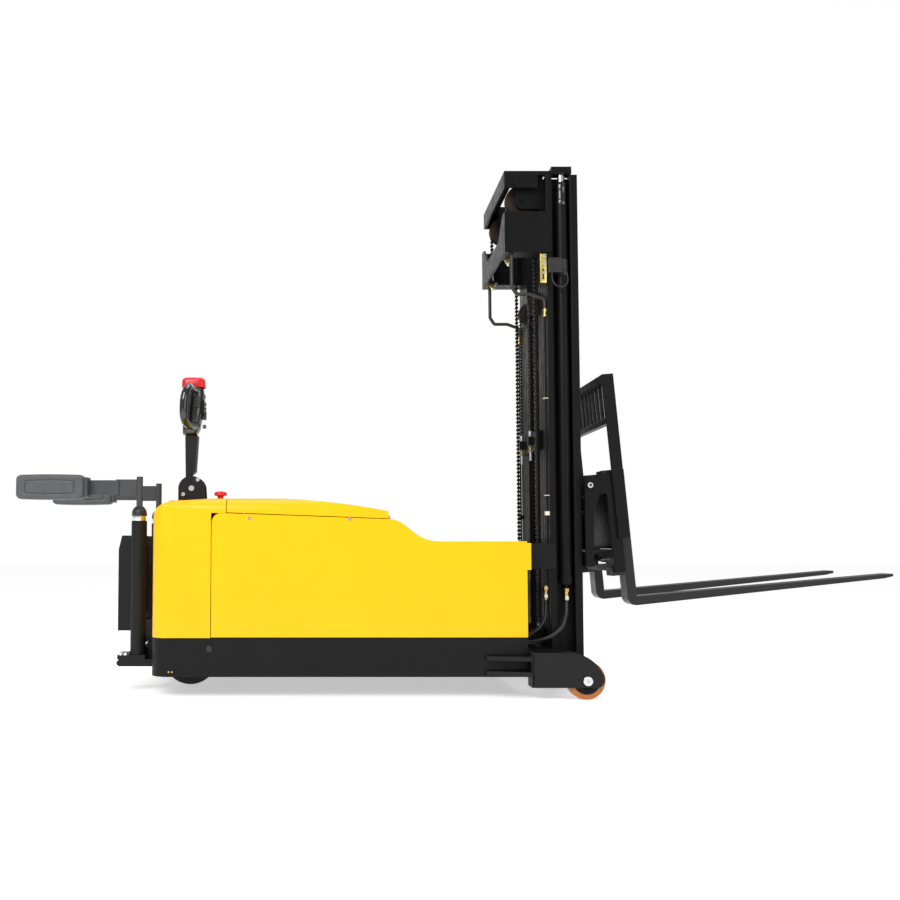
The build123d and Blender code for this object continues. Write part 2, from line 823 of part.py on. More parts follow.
with BuildPart() as drive_tyre:
    with BuildSketch(Plane(origin=(steer_x, 0, drive_wheel_r), x_dir=(1, 0, 0), z_dir=(0, 1, 0))):
        Circle(drive_wheel_r)
        Circle(drive_hub_r, mode=Mode.SUBTRACT)
    extrude(amount=drive_wheel_half, both=True)
    fillet(drive_tyre.edges().filter_by(GeomType.CIRCLE).sort_by(SortBy.RADIUS)[-2:], 7)
with BuildPart() as drive_hub:
    bar(
        drive_hub_r,
        (steer_x, -drive_wheel_half, drive_wheel_r),
        (steer_x, drive_wheel_half, drive_wheel_r),
    )
    bar(
        drive_dish_r,
        (steer_x, drive_wheel_half - 14, drive_wheel_r),
        (steer_x, drive_wheel_half + 5, drive_wheel_r),
        Mode.SUBTRACT,
    )
    bar(
        drive_axle_r + run,
        (steer_x, -drive_wheel_half - 1, drive_wheel_r),
        (steer_x, drive_wheel_half + 1, drive_wheel_r),
        Mode.SUBTRACT,
    )
save("drive_wheel", drive_tyre.part, drive_hub.part)

with BuildPart() as tiller_base:
    bar(column_r, (steer_x, 0, motor_top), (steer_x, 0, tiller_base_z + 8))
    block(
        (steer_x - cheek_half_x, steer_x + cheek_half_x),
        (-cheek_y - cheek_t, cheek_y + cheek_t),
        (tiller_base_z, tiller_base_z + 10),
    )
    for side in SIDES.values():
        with BuildSketch(Plane.XZ.offset(-side * cheek_y)):
            with BuildLine():
                Line((steer_x - cheek_half_x, tiller_base_z), (steer_x - cheek_half_x, tiller_base_z + 62))
                ThreePointArc(
                    (steer_x - cheek_half_x, tiller_base_z + 62),
                    (steer_x - 4, tiller_base_z + 113),
                    (steer_x + 58, tiller_base_z + 62),
                )
                Line((steer_x + 58, tiller_base_z + 62), (steer_x + cheek_half_x, tiller_base_z))
                Line((steer_x + cheek_half_x, tiller_base_z), (steer_x - cheek_half_x, tiller_base_z))
            make_face()
        extrude(amount=-side * cheek_t)
    bar(
        tiller_pin_r,
        (steer_x, -cheek_y - cheek_t - 1, tiller_pivot_z),
        (steer_x, cheek_y + cheek_t + 1, tiller_pivot_z),
        Mode.SUBTRACT,
    )
save("tiller_base", tiller_base.part)

pin_end = cheek_y + cheek_t
pin_pieces = [
    solid_bar(tiller_pin_r, (steer_x, -pin_end, tiller_pivot_z), (steer_x, pin_end, tiller_pivot_z))
]
for side in SIDES.values():
    pin_pieces.append(
        solid_bar(
            13,
            (steer_x, side * pin_end, tiller_pivot_z),
            (steer_x, side * (pin_end + 6), tiller_pivot_z),
        )
    )
    for bolt_x, bolt_z in ((steer_x + 29, tiller_pivot_z + 40), (steer_x - 38, tiller_pivot_z - 28)):
        pin_pieces.append(
            solid_bar(9, (bolt_x, side * pin_end, bolt_z), (bolt_x, side * (pin_end + 5), bolt_z))
        )
save("tiller_pin", *pin_pieces)

# ---- Tiller arm, head, handle and controls -----------------------------------------------------
arm_in = cheek_y - 1
with BuildPart() as tiller_arm:
    with BuildSketch(Plane.XZ.offset(-arm_in + 6)):
        Polygon(
            (steer_x - 30, tiller_pivot_z + 42),
            (steer_x - 34, arm_top_z),
            (steer_x + 24, arm_top_z),
            (steer_x + 14, tiller_pivot_z + 80),
            align=None,
        )
    extrude(amount=2 * (arm_in - 6))
    block((steer_x - 22, steer_x + 22), (-arm_in, arm_in), (tiller_pivot_z, tiller_pivot_z + 52))
    bar(22, (steer_x, -arm_in, tiller_pivot_z), (steer_x, arm_in, tiller_pivot_z))
    bar(
        tiller_pin_r + run,
        (steer_x, -arm_in - 1, tiller_pivot_z),
        (steer_x, arm_in + 1, tiller_pivot_z),
        Mode.SUBTRACT,
    )
save("tiller_arm", tiller_arm.part)

head_rear = steer_x - 50
head_front = head_rear + head_depth
button_z = head_top_z + 44
lever_z = head_top_z - 78
rocker_x = head_front - 5
rocker_z = head_top_z - 133
with BuildPart() as tiller_head:
    block((head_rear, head_front), (-head_half_y, head_half_y), (arm_top_z, head_top_z))
    fillet(tiller_head.edges().filter_by(Axis.Z), 18)
    block((head_rear + 10, head_front - 10), (-24, 24), (head_top_z - 1, head_top_z + 20))
    bar(6 + run, (steer_x + 26, -60, lever_z), (steer_x + 26, 60, lever_z), Mode.SUBTRACT)
    block((head_front - 16, head_front + 1), (-18, 18), (head_top_z - 158, head_top_z - 108), Mode.SUBTRACT)
    bar(3, (rocker_x, -24, rocker_z), (rocker_x, 24, rocker_z), Mode.SUBTRACT)
    bar(9.5, (head_front - 16, 0, head_top_z - 188), (head_front + 2, 0, head_top_z - 188), Mode.SUBTRACT)
    block((head_rear + 22, head_front - 22), (-12, 12), (head_top_z + 4, head_top_z + 21), Mode.SUBTRACT)
save("tiller_head", tiller_head.part, solid_bar(3, (rocker_x, -24, rocker_z), (rocker_x, 24, rocker_z)))

loop_low = arm_top_z + 46
loop_high = head_top_z - 12


def handle_loop(side):
    """One hand loop: a tube that leaves the head low, runs up outside the hand and returns high."""
    points = (
        (steer_x - 24, side * head_half_y, loop_low),
        (steer_x - 24, side * (loop_half_y - 30), loop_low),
        (steer_x - 12, side * loop_half_y, loop_low + 62),
        (steer_x + 6, side * loop_half_y, loop_high - 52),
        (steer_x + 18, side * (loop_half_y - 34), loop_high),
        (steer_x + 18, side * head_half_y, loop_high),
    )
    return hose(loop_tube_r, points, (40, 60, 60, 36))


save("tiller_handle", *[handle_loop(side) for side in SIDES.values()])

with BuildPart() as throttle:
    bar(6, (steer_x + 26, -head_half_y - 26, lever_z), (steer_x + 26, head_half_y + 26, lever_z))
    for side in SIDES.values():
        block(
            (steer_x + 14, steer_x + 38),
            across(side, head_half_y + 1, head_half_y + 27),
            (lever_z - 27, lever_z + 27),
        )
    paddles = throttle.edges().filter_by(Axis.Y).group_by(SortBy.LENGTH)[0]
    fillet(paddles, 6)
save("throttle_paddles", throttle.part)

with BuildPart() as reverse_button:
    block((head_rear - 4, head_front + 3), (-40, 40), (head_top_z + 24, button_z))
    fillet(reverse_button.edges().filter_by(Axis.Z), 22)
    fillet(reverse_button.faces().sort_by(Axis.Z)[-1].edges(), 10)
    block((head_rear + 22.5, head_front - 22.5), (-11.5, 11.5), (head_top_z + 9, head_top_z + 26))
save("reverse_button", reverse_button.part)

with BuildPart() as lift_rocker:
    block((head_front - 10, head_front + 6), (-17, 17), (head_top_z - 156, head_top_z - 110))
    chamfer(lift_rocker.edges().filter_by(Axis.Y).sort_by(Axis.X)[-2:], 4)
    bar(3 + run, (rocker_x, -18, rocker_z), (rocker_x, 18, rocker_z), Mode.SUBTRACT)
save("lift_rocker", lift_rocker.part)

with BuildPart() as horn_button:
    bar(9, (head_front - 10, 0, head_top_z - 188), (head_front + 6, 0, head_top_z - 188))
    fillet(horn_button.edges().sort_by(Axis.X)[-1], 2)
save("horn_button", horn_button.part)

with BuildPart() as stop_button:
    bar(stop_stem_r, (*stop_at, 805), (*stop_at, 872))
    bar(29, (*stop_at, 872), (*stop_at, 889))
    fillet(stop_button.edges().filter_by(GeomType.CIRCLE).sort_by(Axis.Z)[-1], 7)
save("stop_button", stop_button.part)


# ---- Mast rails --------------------------------------------------------------------------------
def rail(side, out, web, inside, low, high):
    """One rolled mast rail: a web between a front and a rear flange."""
    with BuildPart() as piece:
        with BuildSketch(Plane.XY.offset(low)):
            for x0, x1, near, far in (
                (rail_front - front_flange, rail_front, inside, out),
                (rail_rear, rail_rear + rear_flange, inside, out),
                (rail_rear, rail_front, web[0], web[1]),
            ):
                with Locations(((x0 + x1) / 2, side * (near + far) / 2)):
                    Rectangle(x1 - x0, far - near)
        extrude(amount=high - low)
    return piece.part


roller_x = (rail_rear + rear_flange + rail_front - front_flange) / 2
flange_clear = (rail_front - front_flange - rail_rear - rear_flange) / 2 - slide_gap


def roller(side, level, near, far, pin_from):
    """A mast roller on the stub pin that carries it."""
    with BuildPart() as piece:
        bar(flange_clear, (roller_x, side * near, level), (roller_x, side * far, level))
        bar(14, (roller_x, side * pin_from, level), (roller_x, side * near, level))
    return piece.part


for name, side in SIDES.items():
    save(f"{name}_outer_rail", rail(side, outer_out, outer_web, outer_in, mast_low, mast_top - 4))

save(
    "outer_mast_ties",
    solid_block((rail_rear - 28, rail_rear), (outer_in + 2, outer_out), (92, 190)),
    solid_block((rail_rear - 28, rail_rear), (-outer_out, -outer_in - 2), (92, 190)),
    solid_block((rail_rear - 28, rail_rear - 15), (-outer_in - 2, outer_in + 2), (92, 190)),
    solid_block((rail_rear, rail_front), (-outer_in, outer_in), (mast_low, mast_low + 14)),
)

with BuildPart() as chain_anchor_bracket:
    for side in SIDES.values():
        block(
            (box_rear - 6, anchor_box_front),
            across(side, outer_out, anchor_box_out),
            anchor_box_z,
        )
        block(
            (box_rear - 6, rail_rear),
            across(side, 238, anchor_box_out),
            (anchor_box_z[0], anchor_box_z[0] + 12),
        )
        block(
            (box_rear - 6, box_rear + 52),
            across(side, 196, 240),
            (anchor_box_z[0], anchor_box_z[0] + 12),
        )
    with BuildSketch(Plane.YZ.offset(box_rear - 6)):
        with BuildLine():
            Polyline(
                (-anchor_box_out, anchor_box_z[0]),
                (anchor_box_out, anchor_box_z[0]),
                (anchor_box_out, anchor_box_z[1]),
                (anchor_box_out - 56, anchor_box_z[1]),
                (160, anchor_box_z[0] + 96),
                (-160, anchor_box_z[0] + 96),
                (-anchor_box_out + 56, anchor_box_z[1]),
                (-anchor_box_out, anchor_box_z[1]),
                close=True,
            )
        make_face()
    extrude(amount=10)
    for side in SIDES.values():
        bar(
            9,
            (chain_wheel_x - chain_wheel_r, side * chain_y, anchor_box_z[0] - 5),
            (chain_wheel_x - chain_wheel_r, side * chain_y, anchor_box_z[0] + 20),
            Mode.SUBTRACT,
        )
save("chain_anchor_bracket", chain_anchor_bracket.part)


# ---- Side lift cylinders and rods --------------------------------------------------------------
def lift_cylinder(side):
    """A barrel with its base, port and gland."""
    x, y = cylinder_x, side * cylinder_y
    with BuildPart() as barrel:
        bar(barrel_r, (x, y, barrel_low), (x, y, gland_low))
        bar(barrel_r + 1, (x, y, barrel_low), (x, y, barrel_low + 34))
        bar(barrel_r - 1, (x, y, gland_low), (x, y, gland_top))
        bar(11, (x, y, barrel_low - 18), (x, y, barrel_low))
        bar(barrel_bore, (x, y, barrel_low + 34), (x, y, gland_top - 70), Mode.SUBTRACT)
        bar(lift_rod_r + run, (x, y, barrel_low + 34), (x, y, gland_top + 1), Mode.SUBTRACT)
    return barrel.part


def lift_rod(side):
    """A chromed rod with its piston."""
    x, y = cylinder_x, side * cylinder_y
    with BuildPart() as rod:
        bar(lift_rod_r, (x, y, rod_low), (x, y, head_plate_z[0]))
        bar(barrel_bore - run, (x, y, rod_low), (x, y, rod_low + 40))
    return rod.part


save("lift_cylinders", *[lift_cylinder(side) for side in SIDES.values()])
save("lift_rods", *[lift_rod(side) for side in SIDES.values()])


# ---- Middle mast, crosshead and chain wheels ---------------------------------------------------
def crosshead():
    """The top yoke: rod head plates, bars, wheel guards, axle plates and the rear crossbar."""
    plate_low = 2160
    with BuildPart() as yoke:
        for side in SIDES.values():
            block((cylinder_x - 48, cylinder_x + 42), across(side, 262, outer_out), head_plate_z)
            block(
                (box_rear + 146, cylinder_x),
                across(side, 274, 300),
                (head_plate_z[0] + 1, crosshead_z[1]),
            )
            block((box_rear, box_rear + 150), across(side, 290, 300), crosshead_z)
            block((box_rear, box_rear + 150), across(side, 180, 300), (crosshead_z[1] - 10, crosshead_z[1]))
            for near, far in ((180, 190), (250, 260)):
                with BuildSketch(Plane.XZ.offset(-side * near)):
                    with BuildLine():
                        Polyline(
                            (chain_wheel_x - 32, crosshead_z[1]),
                            (rail_rear, crosshead_z[1]),
                            (rail_rear, plate_low),
                            (chain_wheel_x, plate_low),
                        )
                        RadiusArc((chain_wheel_x, plate_low), (chain_wheel_x - 32, plate_low + 40), 40)
                        Line((chain_wheel_x - 32, plate_low + 40), (chain_wheel_x - 32, crosshead_z[1]))
                    make_face()
                extrude(amount=-side * (far - near))
            block((rail_rear - 10, rail_rear), across(side, 180, 260), (plate_low, 2290))
        block((box_rear, box_rear + 10), (-300, 300), crosshead_z)
        block((box_rear, box_rear + 60), (-190, 190), (crosshead_z[1] - 10, crosshead_z[1]))
        for side in SIDES.values():
            bar(
                wheel_pin_r,
                (chain_wheel_x, side * 170, chain_wheel_z),
                (chain_wheel_x, side * 270, chain_wheel_z),
                Mode.SUBTRACT,
            )
            block(
                (chain_wheel_x + chain_wheel_r - 12, chain_wheel_x + chain_wheel_r + 12),
                across(side, chain_y - 14, chain_y + 14),
                (plate_low - 5, chain_wheel_z),
                Mode.SUBTRACT,
            )
    return yoke.part


wheel_pins = [
    solid_bar(
        wheel_pin_r,
        (chain_wheel_x, side * 178, chain_wheel_z),
        (chain_wheel_x, side * 264, chain_wheel_z),
    )
    for side in SIDES.values()
]
save("crosshead", crosshead(), *wheel_pins)


def middle_mast():
    """Both middle rails, their rear tie, foot bars and rollers."""
    pieces = [
        rail(side, middle_out, middle_web, middle_in, mast_low + 18, mast_top) for side in SIDES.values()
    ]
    pieces.append(solid_block((rail_rear - 12, rail_rear), (-middle_out, middle_out), (98, 186)))
    for side in SIDES.values():
        for level in (mast_low + 70, mast_low + 560):
            pieces.append(roller(side, level, outer_in + 3, outer_web[0] - 1, middle_web[1]))
    return pieces


save("middle_mast", *middle_mast())


def chain_wheel(side):
    """A flanged wheel for a leaf chain, turning on its pin."""
    x, z = chain_wheel_x, chain_wheel_z
    groove = chain_wheel_r - chain_t / 2 - 0.3
    with BuildPart() as wheel:
        bar(groove, (x, side * (chain_y - 18), z), (x, side * (chain_y + 18), z))
        for near in (-18, chain_half + 1.5):
            bar(
                chain_wheel_r + chain_t / 2 + 3,
                (x, side * (chain_y + near), z),
                (x, side * (chain_y + near + 6.5), z),
            )
        bar(wheel_pin_r + run, (x, side * (chain_y - 20), z), (x, side * (chain_y + 20), z), Mode.SUBTRACT)
    return wheel.part


save("chain_wheels", *[chain_wheel(side) for side in SIDES.values()])


# ---- Inner mast and free-lift cylinder ---------------------------------------------------------
def inner_mast():
    """Both inner rails, their ties, rollers, chain ears and the free-lift anchor plate."""
    pieces = [rail(side, inner_out, inner_web, inner_in, inner_low, inner_top) for side in SIDES.values()]
    wide = (-inner_in, inner_in)
    pieces.append(solid_block((rail_rear, rail_front - front_flange), wide, (inner_low, free_low)))
    pieces.append(solid_block((rail_rear, rail_rear + 14), wide, (inner_top - 24, inner_top)))
    for side in SIDES.values():
        for level in (inner_low + 90, inner_low + 560):
            pieces.append(roller(side, level, middle_in + 1, middle_web[0] - 1, inner_web[1]))
        with BuildPart() as ear:
            block((rail_rear - 18, rail_rear), across(side, inner_in, inner_out), (225, 265))
            block((rail_rear - 50, rail_rear - 16), across(side, inner_in, chain_y + 15), (225, 265))
            bar(
                8,
                (chain_wheel_x + chain_wheel_r, side * chain_y, 220),
                (chain_wheel_x + chain_wheel_r, side * chain_y, 270),
                Mode.SUBTRACT,
            )
        pieces.append(ear.part)
        pieces.append(
            solid_block(
                (rail_rear - 14, rail_rear), across(side, inner_in, inner_out - 2), anchor_plate_z
            )
        )
    with BuildPart() as anchor_plate:
        block((anchor_plate_x, rail_rear - 14), (-inner_out + 2, inner_out - 2), anchor_plate_z)
        for side in SIDES.values():
            block(
                (free_wheel_x - free_wheel_r - 12, anchor_plate_x + 1),
                across(side, free_chain_y - 12, free_chain_y + 12),
                (1100, 1140),
            )
            bar(
                6,
                (free_wheel_x - free_wheel_r, side * free_chain_y, 1090),
                (free_wheel_x - free_wheel_r, side * free_chain_y, 1150),
                Mode.SUBTRACT,
            )
    pieces.append(anchor_plate.part)
    return pieces


save("inner_mast", *inner_mast())

with BuildPart() as free_lift_cylinder:
    bar(free_barrel_r, (free_x, 0, free_low), (free_x, 0, free_top))
    bar(free_barrel_r + 5, (free_x, 0, free_top - 50), (free_x, 0, free_top))
    bar(free_bore, (free_x, 0, free_low + 30), (free_x, 0, free_top - 60), Mode.SUBTRACT)
    bar(free_rod_r + run, (free_x, 0, free_low + 30), (free_x, 0, free_top + 1), Mode.SUBTRACT)
save("free_lift_cylinder", free_lift_cylinder.part)

with BuildPart() as free_lift_head:
    bar(free_rod_r, (free_x, 0, 760), (free_x, 0, free_wheel_z + 40))
    bar(free_bore - run, (free_x, 0, 760), (free_x, 0, 790))
    block((free_wheel_x - 24, free_x + 26), (-84, 84), (free_wheel_z - 24, free_wheel_z + 24))
    bar(free_pin_r, (free_wheel_x, -122, free_wheel_z), (free_wheel_x, 122, free_wheel_z))
save("free_lift_head", free_lift_head.part)


def free_wheel(side):
    """A small flanged chain wheel on the free-lift head."""
    x, z = free_wheel_x, free_wheel_z
    groove = free_wheel_r - 6.3
    with BuildPart() as wheel:
        bar(groove, (x, side * (free_chain_y - 15), z), (x, side * (free_chain_y + 15), z))
        for near in (-15, free_chain_half + 1.5):
            bar(
                free_wheel_r + 9,
                (x, side * (free_chain_y + near), z),
                (x, side * (free_chain_y + near + 5.5), z),
            )
        bar(
            free_pin_r + run,
            (x, side * (free_chain_y - 16), z),
            (x, side * (free_chain_y + 16), z),
            Mode.SUBTRACT,
        )
    return wheel.part


save("free_lift_wheels", *[free_wheel(side) for side in SIDES.values()])


# ---- Chains ------------------------------------------------------------------------------------
def chain_strand(x, y, half_y, half_x, low, high):
    """A straight stretch of leaf chain."""
    return solid_block((x - half_x, x + half_x), (y - half_y, y + half_y), (low, high))


def chain_bend(x, y, z, radius, half_y, half_x):
    """The chain's half turn over a wheel."""
    with BuildPart() as bend:
        bar(radius + half_x, (x, y - half_y, z), (x, y + half_y, z))
        bar(radius - half_x, (x, y - half_y - 1, z), (x, y + half_y + 1, z), Mode.SUBTRACT)
        block((x - 90, x + 90), (y - 40, y + 40), (z - 90, z), Mode.SUBTRACT)
    return bend.part


def anchor_bolt(x, y, low, high, nut):
    """A chain anchor: threaded rod, nut and the yoke on the chain's end."""
    with BuildPart() as bolt:
        bar(6, (x, y, low - 30), (x, y, high + 8))
        with BuildSketch(Plane.XY.offset(low - 22)):
            with Locations((x, y)):
                RegularPolygon(nut, 6)
        extrude(amount=20)
        bar(9, (x, y, high), (x, y, high + 26))
    return bolt.part


half_chain = chain_t / 2
chain_rear_x = chain_wheel_x - chain_wheel_r
chain_front_x = chain_wheel_x + chain_wheel_r
anchor_top = anchor_box_z[0] + 12
rear_strands = []
front_strands = []
for side in SIDES.values():
    y = side * chain_y
    rear_strands.append(anchor_bolt(chain_rear_x, y, anchor_box_z[0] - 2, anchor_top + 2, 14))
    rear_strands.append(
        chain_strand(chain_rear_x, y, chain_half, half_chain, anchor_top + 28, chain_wheel_z - 0.3)
    )
    front_strands.append(chain_bend(chain_wheel_x, y, chain_wheel_z, chain_wheel_r, chain_half, half_chain))
    front_strands.append(chain_strand(chain_front_x, y, chain_half, half_chain, 293, chain_wheel_z - 0.3))
save("lift_chains_rear", *rear_strands)
save("lift_chains_front", *front_strands)

free_rear_x = free_wheel_x - free_wheel_r
free_front_x = free_wheel_x + free_wheel_r
free_chains = []
for side in SIDES.values():
    y = side * free_chain_y
    free_chains.append(anchor_bolt(free_rear_x, y, 1098, 1142, 11))
    free_chains.append(chain_strand(free_rear_x, y, free_chain_half, 6, 1168, free_wheel_z - 0.3))
    free_chains.append(chain_bend(free_wheel_x, y, free_wheel_z, free_wheel_r, free_chain_half, 6))
    free_chains.append(chain_strand(free_front_x, y, free_chain_half, 6, 642, free_wheel_z - 0.3))
save("free_lift_chains", *free_chains)


# ---- Carriage ----------------------------------------------------------------------------------
def carriage():
    """Roller plates inside the mast, two front bars and the side plates that carry the tilt pins."""
    inside = inner_in - 6
    with BuildPart() as frame:
        for side in SIDES.values():
            block((axle_x - 32, carriage_back + 2), across(side, inside - 20, inside), (560, 905))
            block(
                (axle_x - 62, axle_x - 30),
                across(side, inside - 24, inside),
                (600, 640),
            )
            block((carriage_back, carriage_back + 22), across(side, 60, side_plate_y[1]), (788, 848))
            block((carriage_back, carriage_back + 22), across(side, 60, side_plate_y[1]), (548, 612))
            with BuildSketch(Plane.XZ.offset(-side * side_plate_y[0])):
                with BuildLine():
                    Polyline(
                        (carriage_back - 2, carriage_low),
                        (carriage_back - 2, carriage_high),
                        (carriage_back + 40, carriage_high),
                        (carriage_back + 60, carriage_high - 40),
                        (carriage_back + 60, carriage_low + 300),
                        (carriage_back + 34, carriage_low + 240),
                        (carriage_back + 34, carriage_low),
                        close=True,
                    )
                make_face()
            extrude(amount=-side * (side_plate_y[1] - side_plate_y[0]))
        block((carriage_back, carriage_back + 22), (-70, 70), (788, 848))
        block((carriage_back, carriage_back + 22), (-70, 70), (548, 612))
        for side in SIDES.values():
            bar(
                tilt_pin_r,
                (tilt_x, side * (side_plate_y[0] - 5), tilt_z),
                (tilt_x, side * (side_plate_y[1] + 5), tilt_z),
                Mode.SUBTRACT,
            )
    pieces = [frame.part]
    for side in SIDES.values():
        for level in (606, 858):
            with BuildPart() as wheel:
                bar(
                    flange_clear,
                    (roller_x, side * (inner_in + 2), level),
                    (roller_x, side * (inner_web[0] - 1), level),
                )
                bar(16, (roller_x, side * inside, level), (roller_x, side * (inner_in + 3), level))
            pieces.append(wheel.part)
        pieces.append(
            solid_bar(
                tilt_pin_r,
                (tilt_x, side * (ear_y[0] - 4), tilt_z),
                (tilt_x, side * side_plate_y[1], tilt_z),
            )
        )
        pieces.append(
            solid_bar(
                16,
                (tilt_x, side * side_plate_y[1], tilt_z),
                (tilt_x, side * (side_plate_y[1] + 9), tilt_z),
            )
        )
    return pieces


save("carriage", *carriage())

lower_bar_mid = (lower_bar_z[0] + lower_bar_z[1]) / 2
lean = math.radians(tilt_back)
bar_face_x = tilt_x + bar_back * math.cos(lean) - lower_bar_mid * math.sin(lean)
ram_z = tilt_z + bar_back * math.sin(lean) + lower_bar_mid * math.cos(lean)
ram_mouth = carriage_back + 92
save(
    "tilt_ram_barrels",
    *[
        solid_bar(
            ram_r,
            (carriage_back + 22, side * ram_y, ram_z),
            (ram_mouth, side * ram_y, ram_z),
            ram_rod_r + run,
        )
        for side in SIDES.values()
    ],
)
save(
    "tilt_ram_rods",
    *[
        solid_bar(
            ram_rod_r,
            (ram_mouth - 20, side * ram_y, ram_z),
            (bar_face_x - 1.6, side * ram_y, ram_z),
        )
        for side in SIDES.values()
    ],
)

# ---- Fork frame, backrest and forks, drawn square to the frame that leans back -----------------
leaning = Plane(
    origin=(tilt_x, 0, tilt_z),
    x_dir=(math.cos(lean), 0, math.sin(lean)),
    z_dir=(-math.sin(lean), 0, math.cos(lean)),
)


def lean_block(x, y, z, mode=Mode.ADD):
    """A box in the leaning frame: x forward and z up from the tilt pin."""
    centre = leaning.from_local_coords(((x[0] + x[1]) / 2, (y[0] + y[1]) / 2, (z[0] + z[1]) / 2))
    with Locations(Plane(origin=centre, x_dir=leaning.x_dir, z_dir=leaning.z_dir)):
        Box(x[1] - x[0], y[1] - y[0], z[1] - z[0], mode=mode)


with BuildPart() as fork_frame:
    lean_block((bar_back, bar_front), (-ear_y[1], ear_y[1]), upper_bar_z)
    lean_block((bar_back, bar_front), (-ear_y[1], ear_y[1]), lower_bar_z)
    for side in SIDES.values():
        lean_block((-20, bar_back + 1), across(side, *ear_y), (-42, 45))
        lean_block((bar_back - 8, bar_front), across(side, *ear_y), (lower_bar_z[0], upper_bar_z[0] + 2))
        bar(
            tilt_pin_r + run,
            (tilt_x, side * (ear_y[0] - 5), tilt_z),
            (tilt_x, side * (ear_y[1] + 5), tilt_z),
            Mode.SUBTRACT,
        )
save("fork_frame", fork_frame.part)

slat_x = (post_depth[0] + 22, post_depth[0] + 30)
post_out = ear_y[1] + 14
with BuildPart() as load_backrest:
    for side in SIDES.values():
        lean_block(post_depth, across(side, ear_y[1], post_out), backrest_z)
    lean_block(post_depth, (-post_out, post_out), (backrest_z[1] - 30, backrest_z[1]))
    lean_block((post_depth[0] + 8, post_depth[1] - 6), (-post_out, post_out), (266, 292))
    for slat in range(-4, 5):
        lean_block(slat_x, (slat * 66 - 20, slat * 66 + 20), (270, backrest_z[1] - 10))
backrest_solids = [load_backrest.part]
save("load_backrest", *backrest_solids)


def fork(side):
    """A forged fork: hooked shank, heel and tapered blade."""
    centre = side * fork_y
    hook_top = upper_bar_z[1] + seat_gap
    low_hook = lower_bar_z[0] - 2
    tip_x = shank[1] + fork_length
    wide = (centre - fork_half, centre + fork_half)
    hook_back = bar_back - hook_t + 2
    with BuildPart() as piece:
        lean_block(shank, wide, (blade_top - 12, hook_top + hook_t))
        lean_block((hook_back, shank[1]), wide, (hook_top, hook_top + hook_t))
        lean_block((hook_back, bar_back - 2), wide, (hook_top - 26, hook_top + hook_t))
        lean_block((hook_back, shank[1]), wide, (low_hook - hook_t, low_hook))
        lean_block((hook_back, bar_back - 2), wide, (low_hook - hook_t, low_hook + 24))
        blade_plane = Plane(
            origin=leaning.from_local_coords((0, centre - fork_half, 0)),
            x_dir=leaning.x_dir,
            z_dir=(0, -1, 0),
        )
        with BuildSketch(blade_plane):
            with BuildLine():
                Line((shank[0], blade_top), (shank[0], blade_top - 4))
                RadiusArc((shank[0], blade_top - 4), (shank[0] + heel_r, blade_top - blade_t), -heel_r)
                Polyline(
                    (shank[0] + heel_r, blade_top - blade_t),
                    (tip_x - 40, blade_top - tip_t - 6),
                    (tip_x, blade_top - tip_t),
                    (tip_x, blade_top),
                    (shank[0], blade_top),
                )
            make_face()
        extrude(amount=-2 * fork_half)
    return piece.part


for name, side in SIDES.items():
    save(f"{name}_fork", fork(side))

# ---- Pipes, hoses and limit switch -------------------------------------------------------------
pipe_x = rail_rear - 8
pipe_y = 304
pipe_solids = []
hose_solids = []
for side in SIDES.values():
    y = side * pipe_y
    pipe_solids.append(solid_bar(4.5, (pipe_x, y, 236), (pipe_x, y, 1655)))
    pipe_solids.append(solid_bar(8, (pipe_x, y, 1655), (pipe_x, y, 1690)))
    pipe_solids.append(
        solid_block((pipe_x - 8, rail_rear), across(side, pipe_y - 12, pipe_y - 4.5), (770, 790))
    )
    hose_solids.append(
        hose(
            8,
            (
                (pipe_x, y, 1690),
                (pipe_x, y, 1735),
                (pipe_x - 60, y, 1757),
                (pipe_x - 125, y, 1757),
                (pipe_x - 146, y, 1790),
                (pipe_x - 146, y, anchor_box_z[0]),
            ),
            (18, 24, 14, 16),
        )
    )
    hose_solids.append(
        hose(
            8,
            (
                (cylinder_x, side * cylinder_y, barrel_low - 18),
                (cylinder_x, side * cylinder_y, barrel_low - 66),
                (cylinder_x - 4, side * (cylinder_y + 16), barrel_low - 126),
                (cylinder_x - 30, side * 336, barrel_low - 186),
                (cylinder_x - 86, side * 344, barrel_low - 226),
                (cylinder_x - 150, side * 322, 222),
                (body_front - 30, side * 310, 222),
            ),
            (90, 90, 80, 90, 90),
        )
    )
save("hydraulic_pipes", *pipe_solids)
save("hydraulic_hoses", *hose_solids)

switch_z = 1846
with BuildPart() as limit_switch:
    block((cylinder_x - 71, cylinder_x - 9), (-outer_out - 24, -outer_out), (switch_z, switch_z + 66))
    fillet(limit_switch.edges().filter_by(Axis.Y), 6)
save(
    "limit_switch",
    limit_switch.part,
    solid_block(
        (rail_rear - 4, rail_rear),
        (-outer_out + 2, -outer_out + 32),
        (switch_z - 50, switch_z + 46),
    ),
)

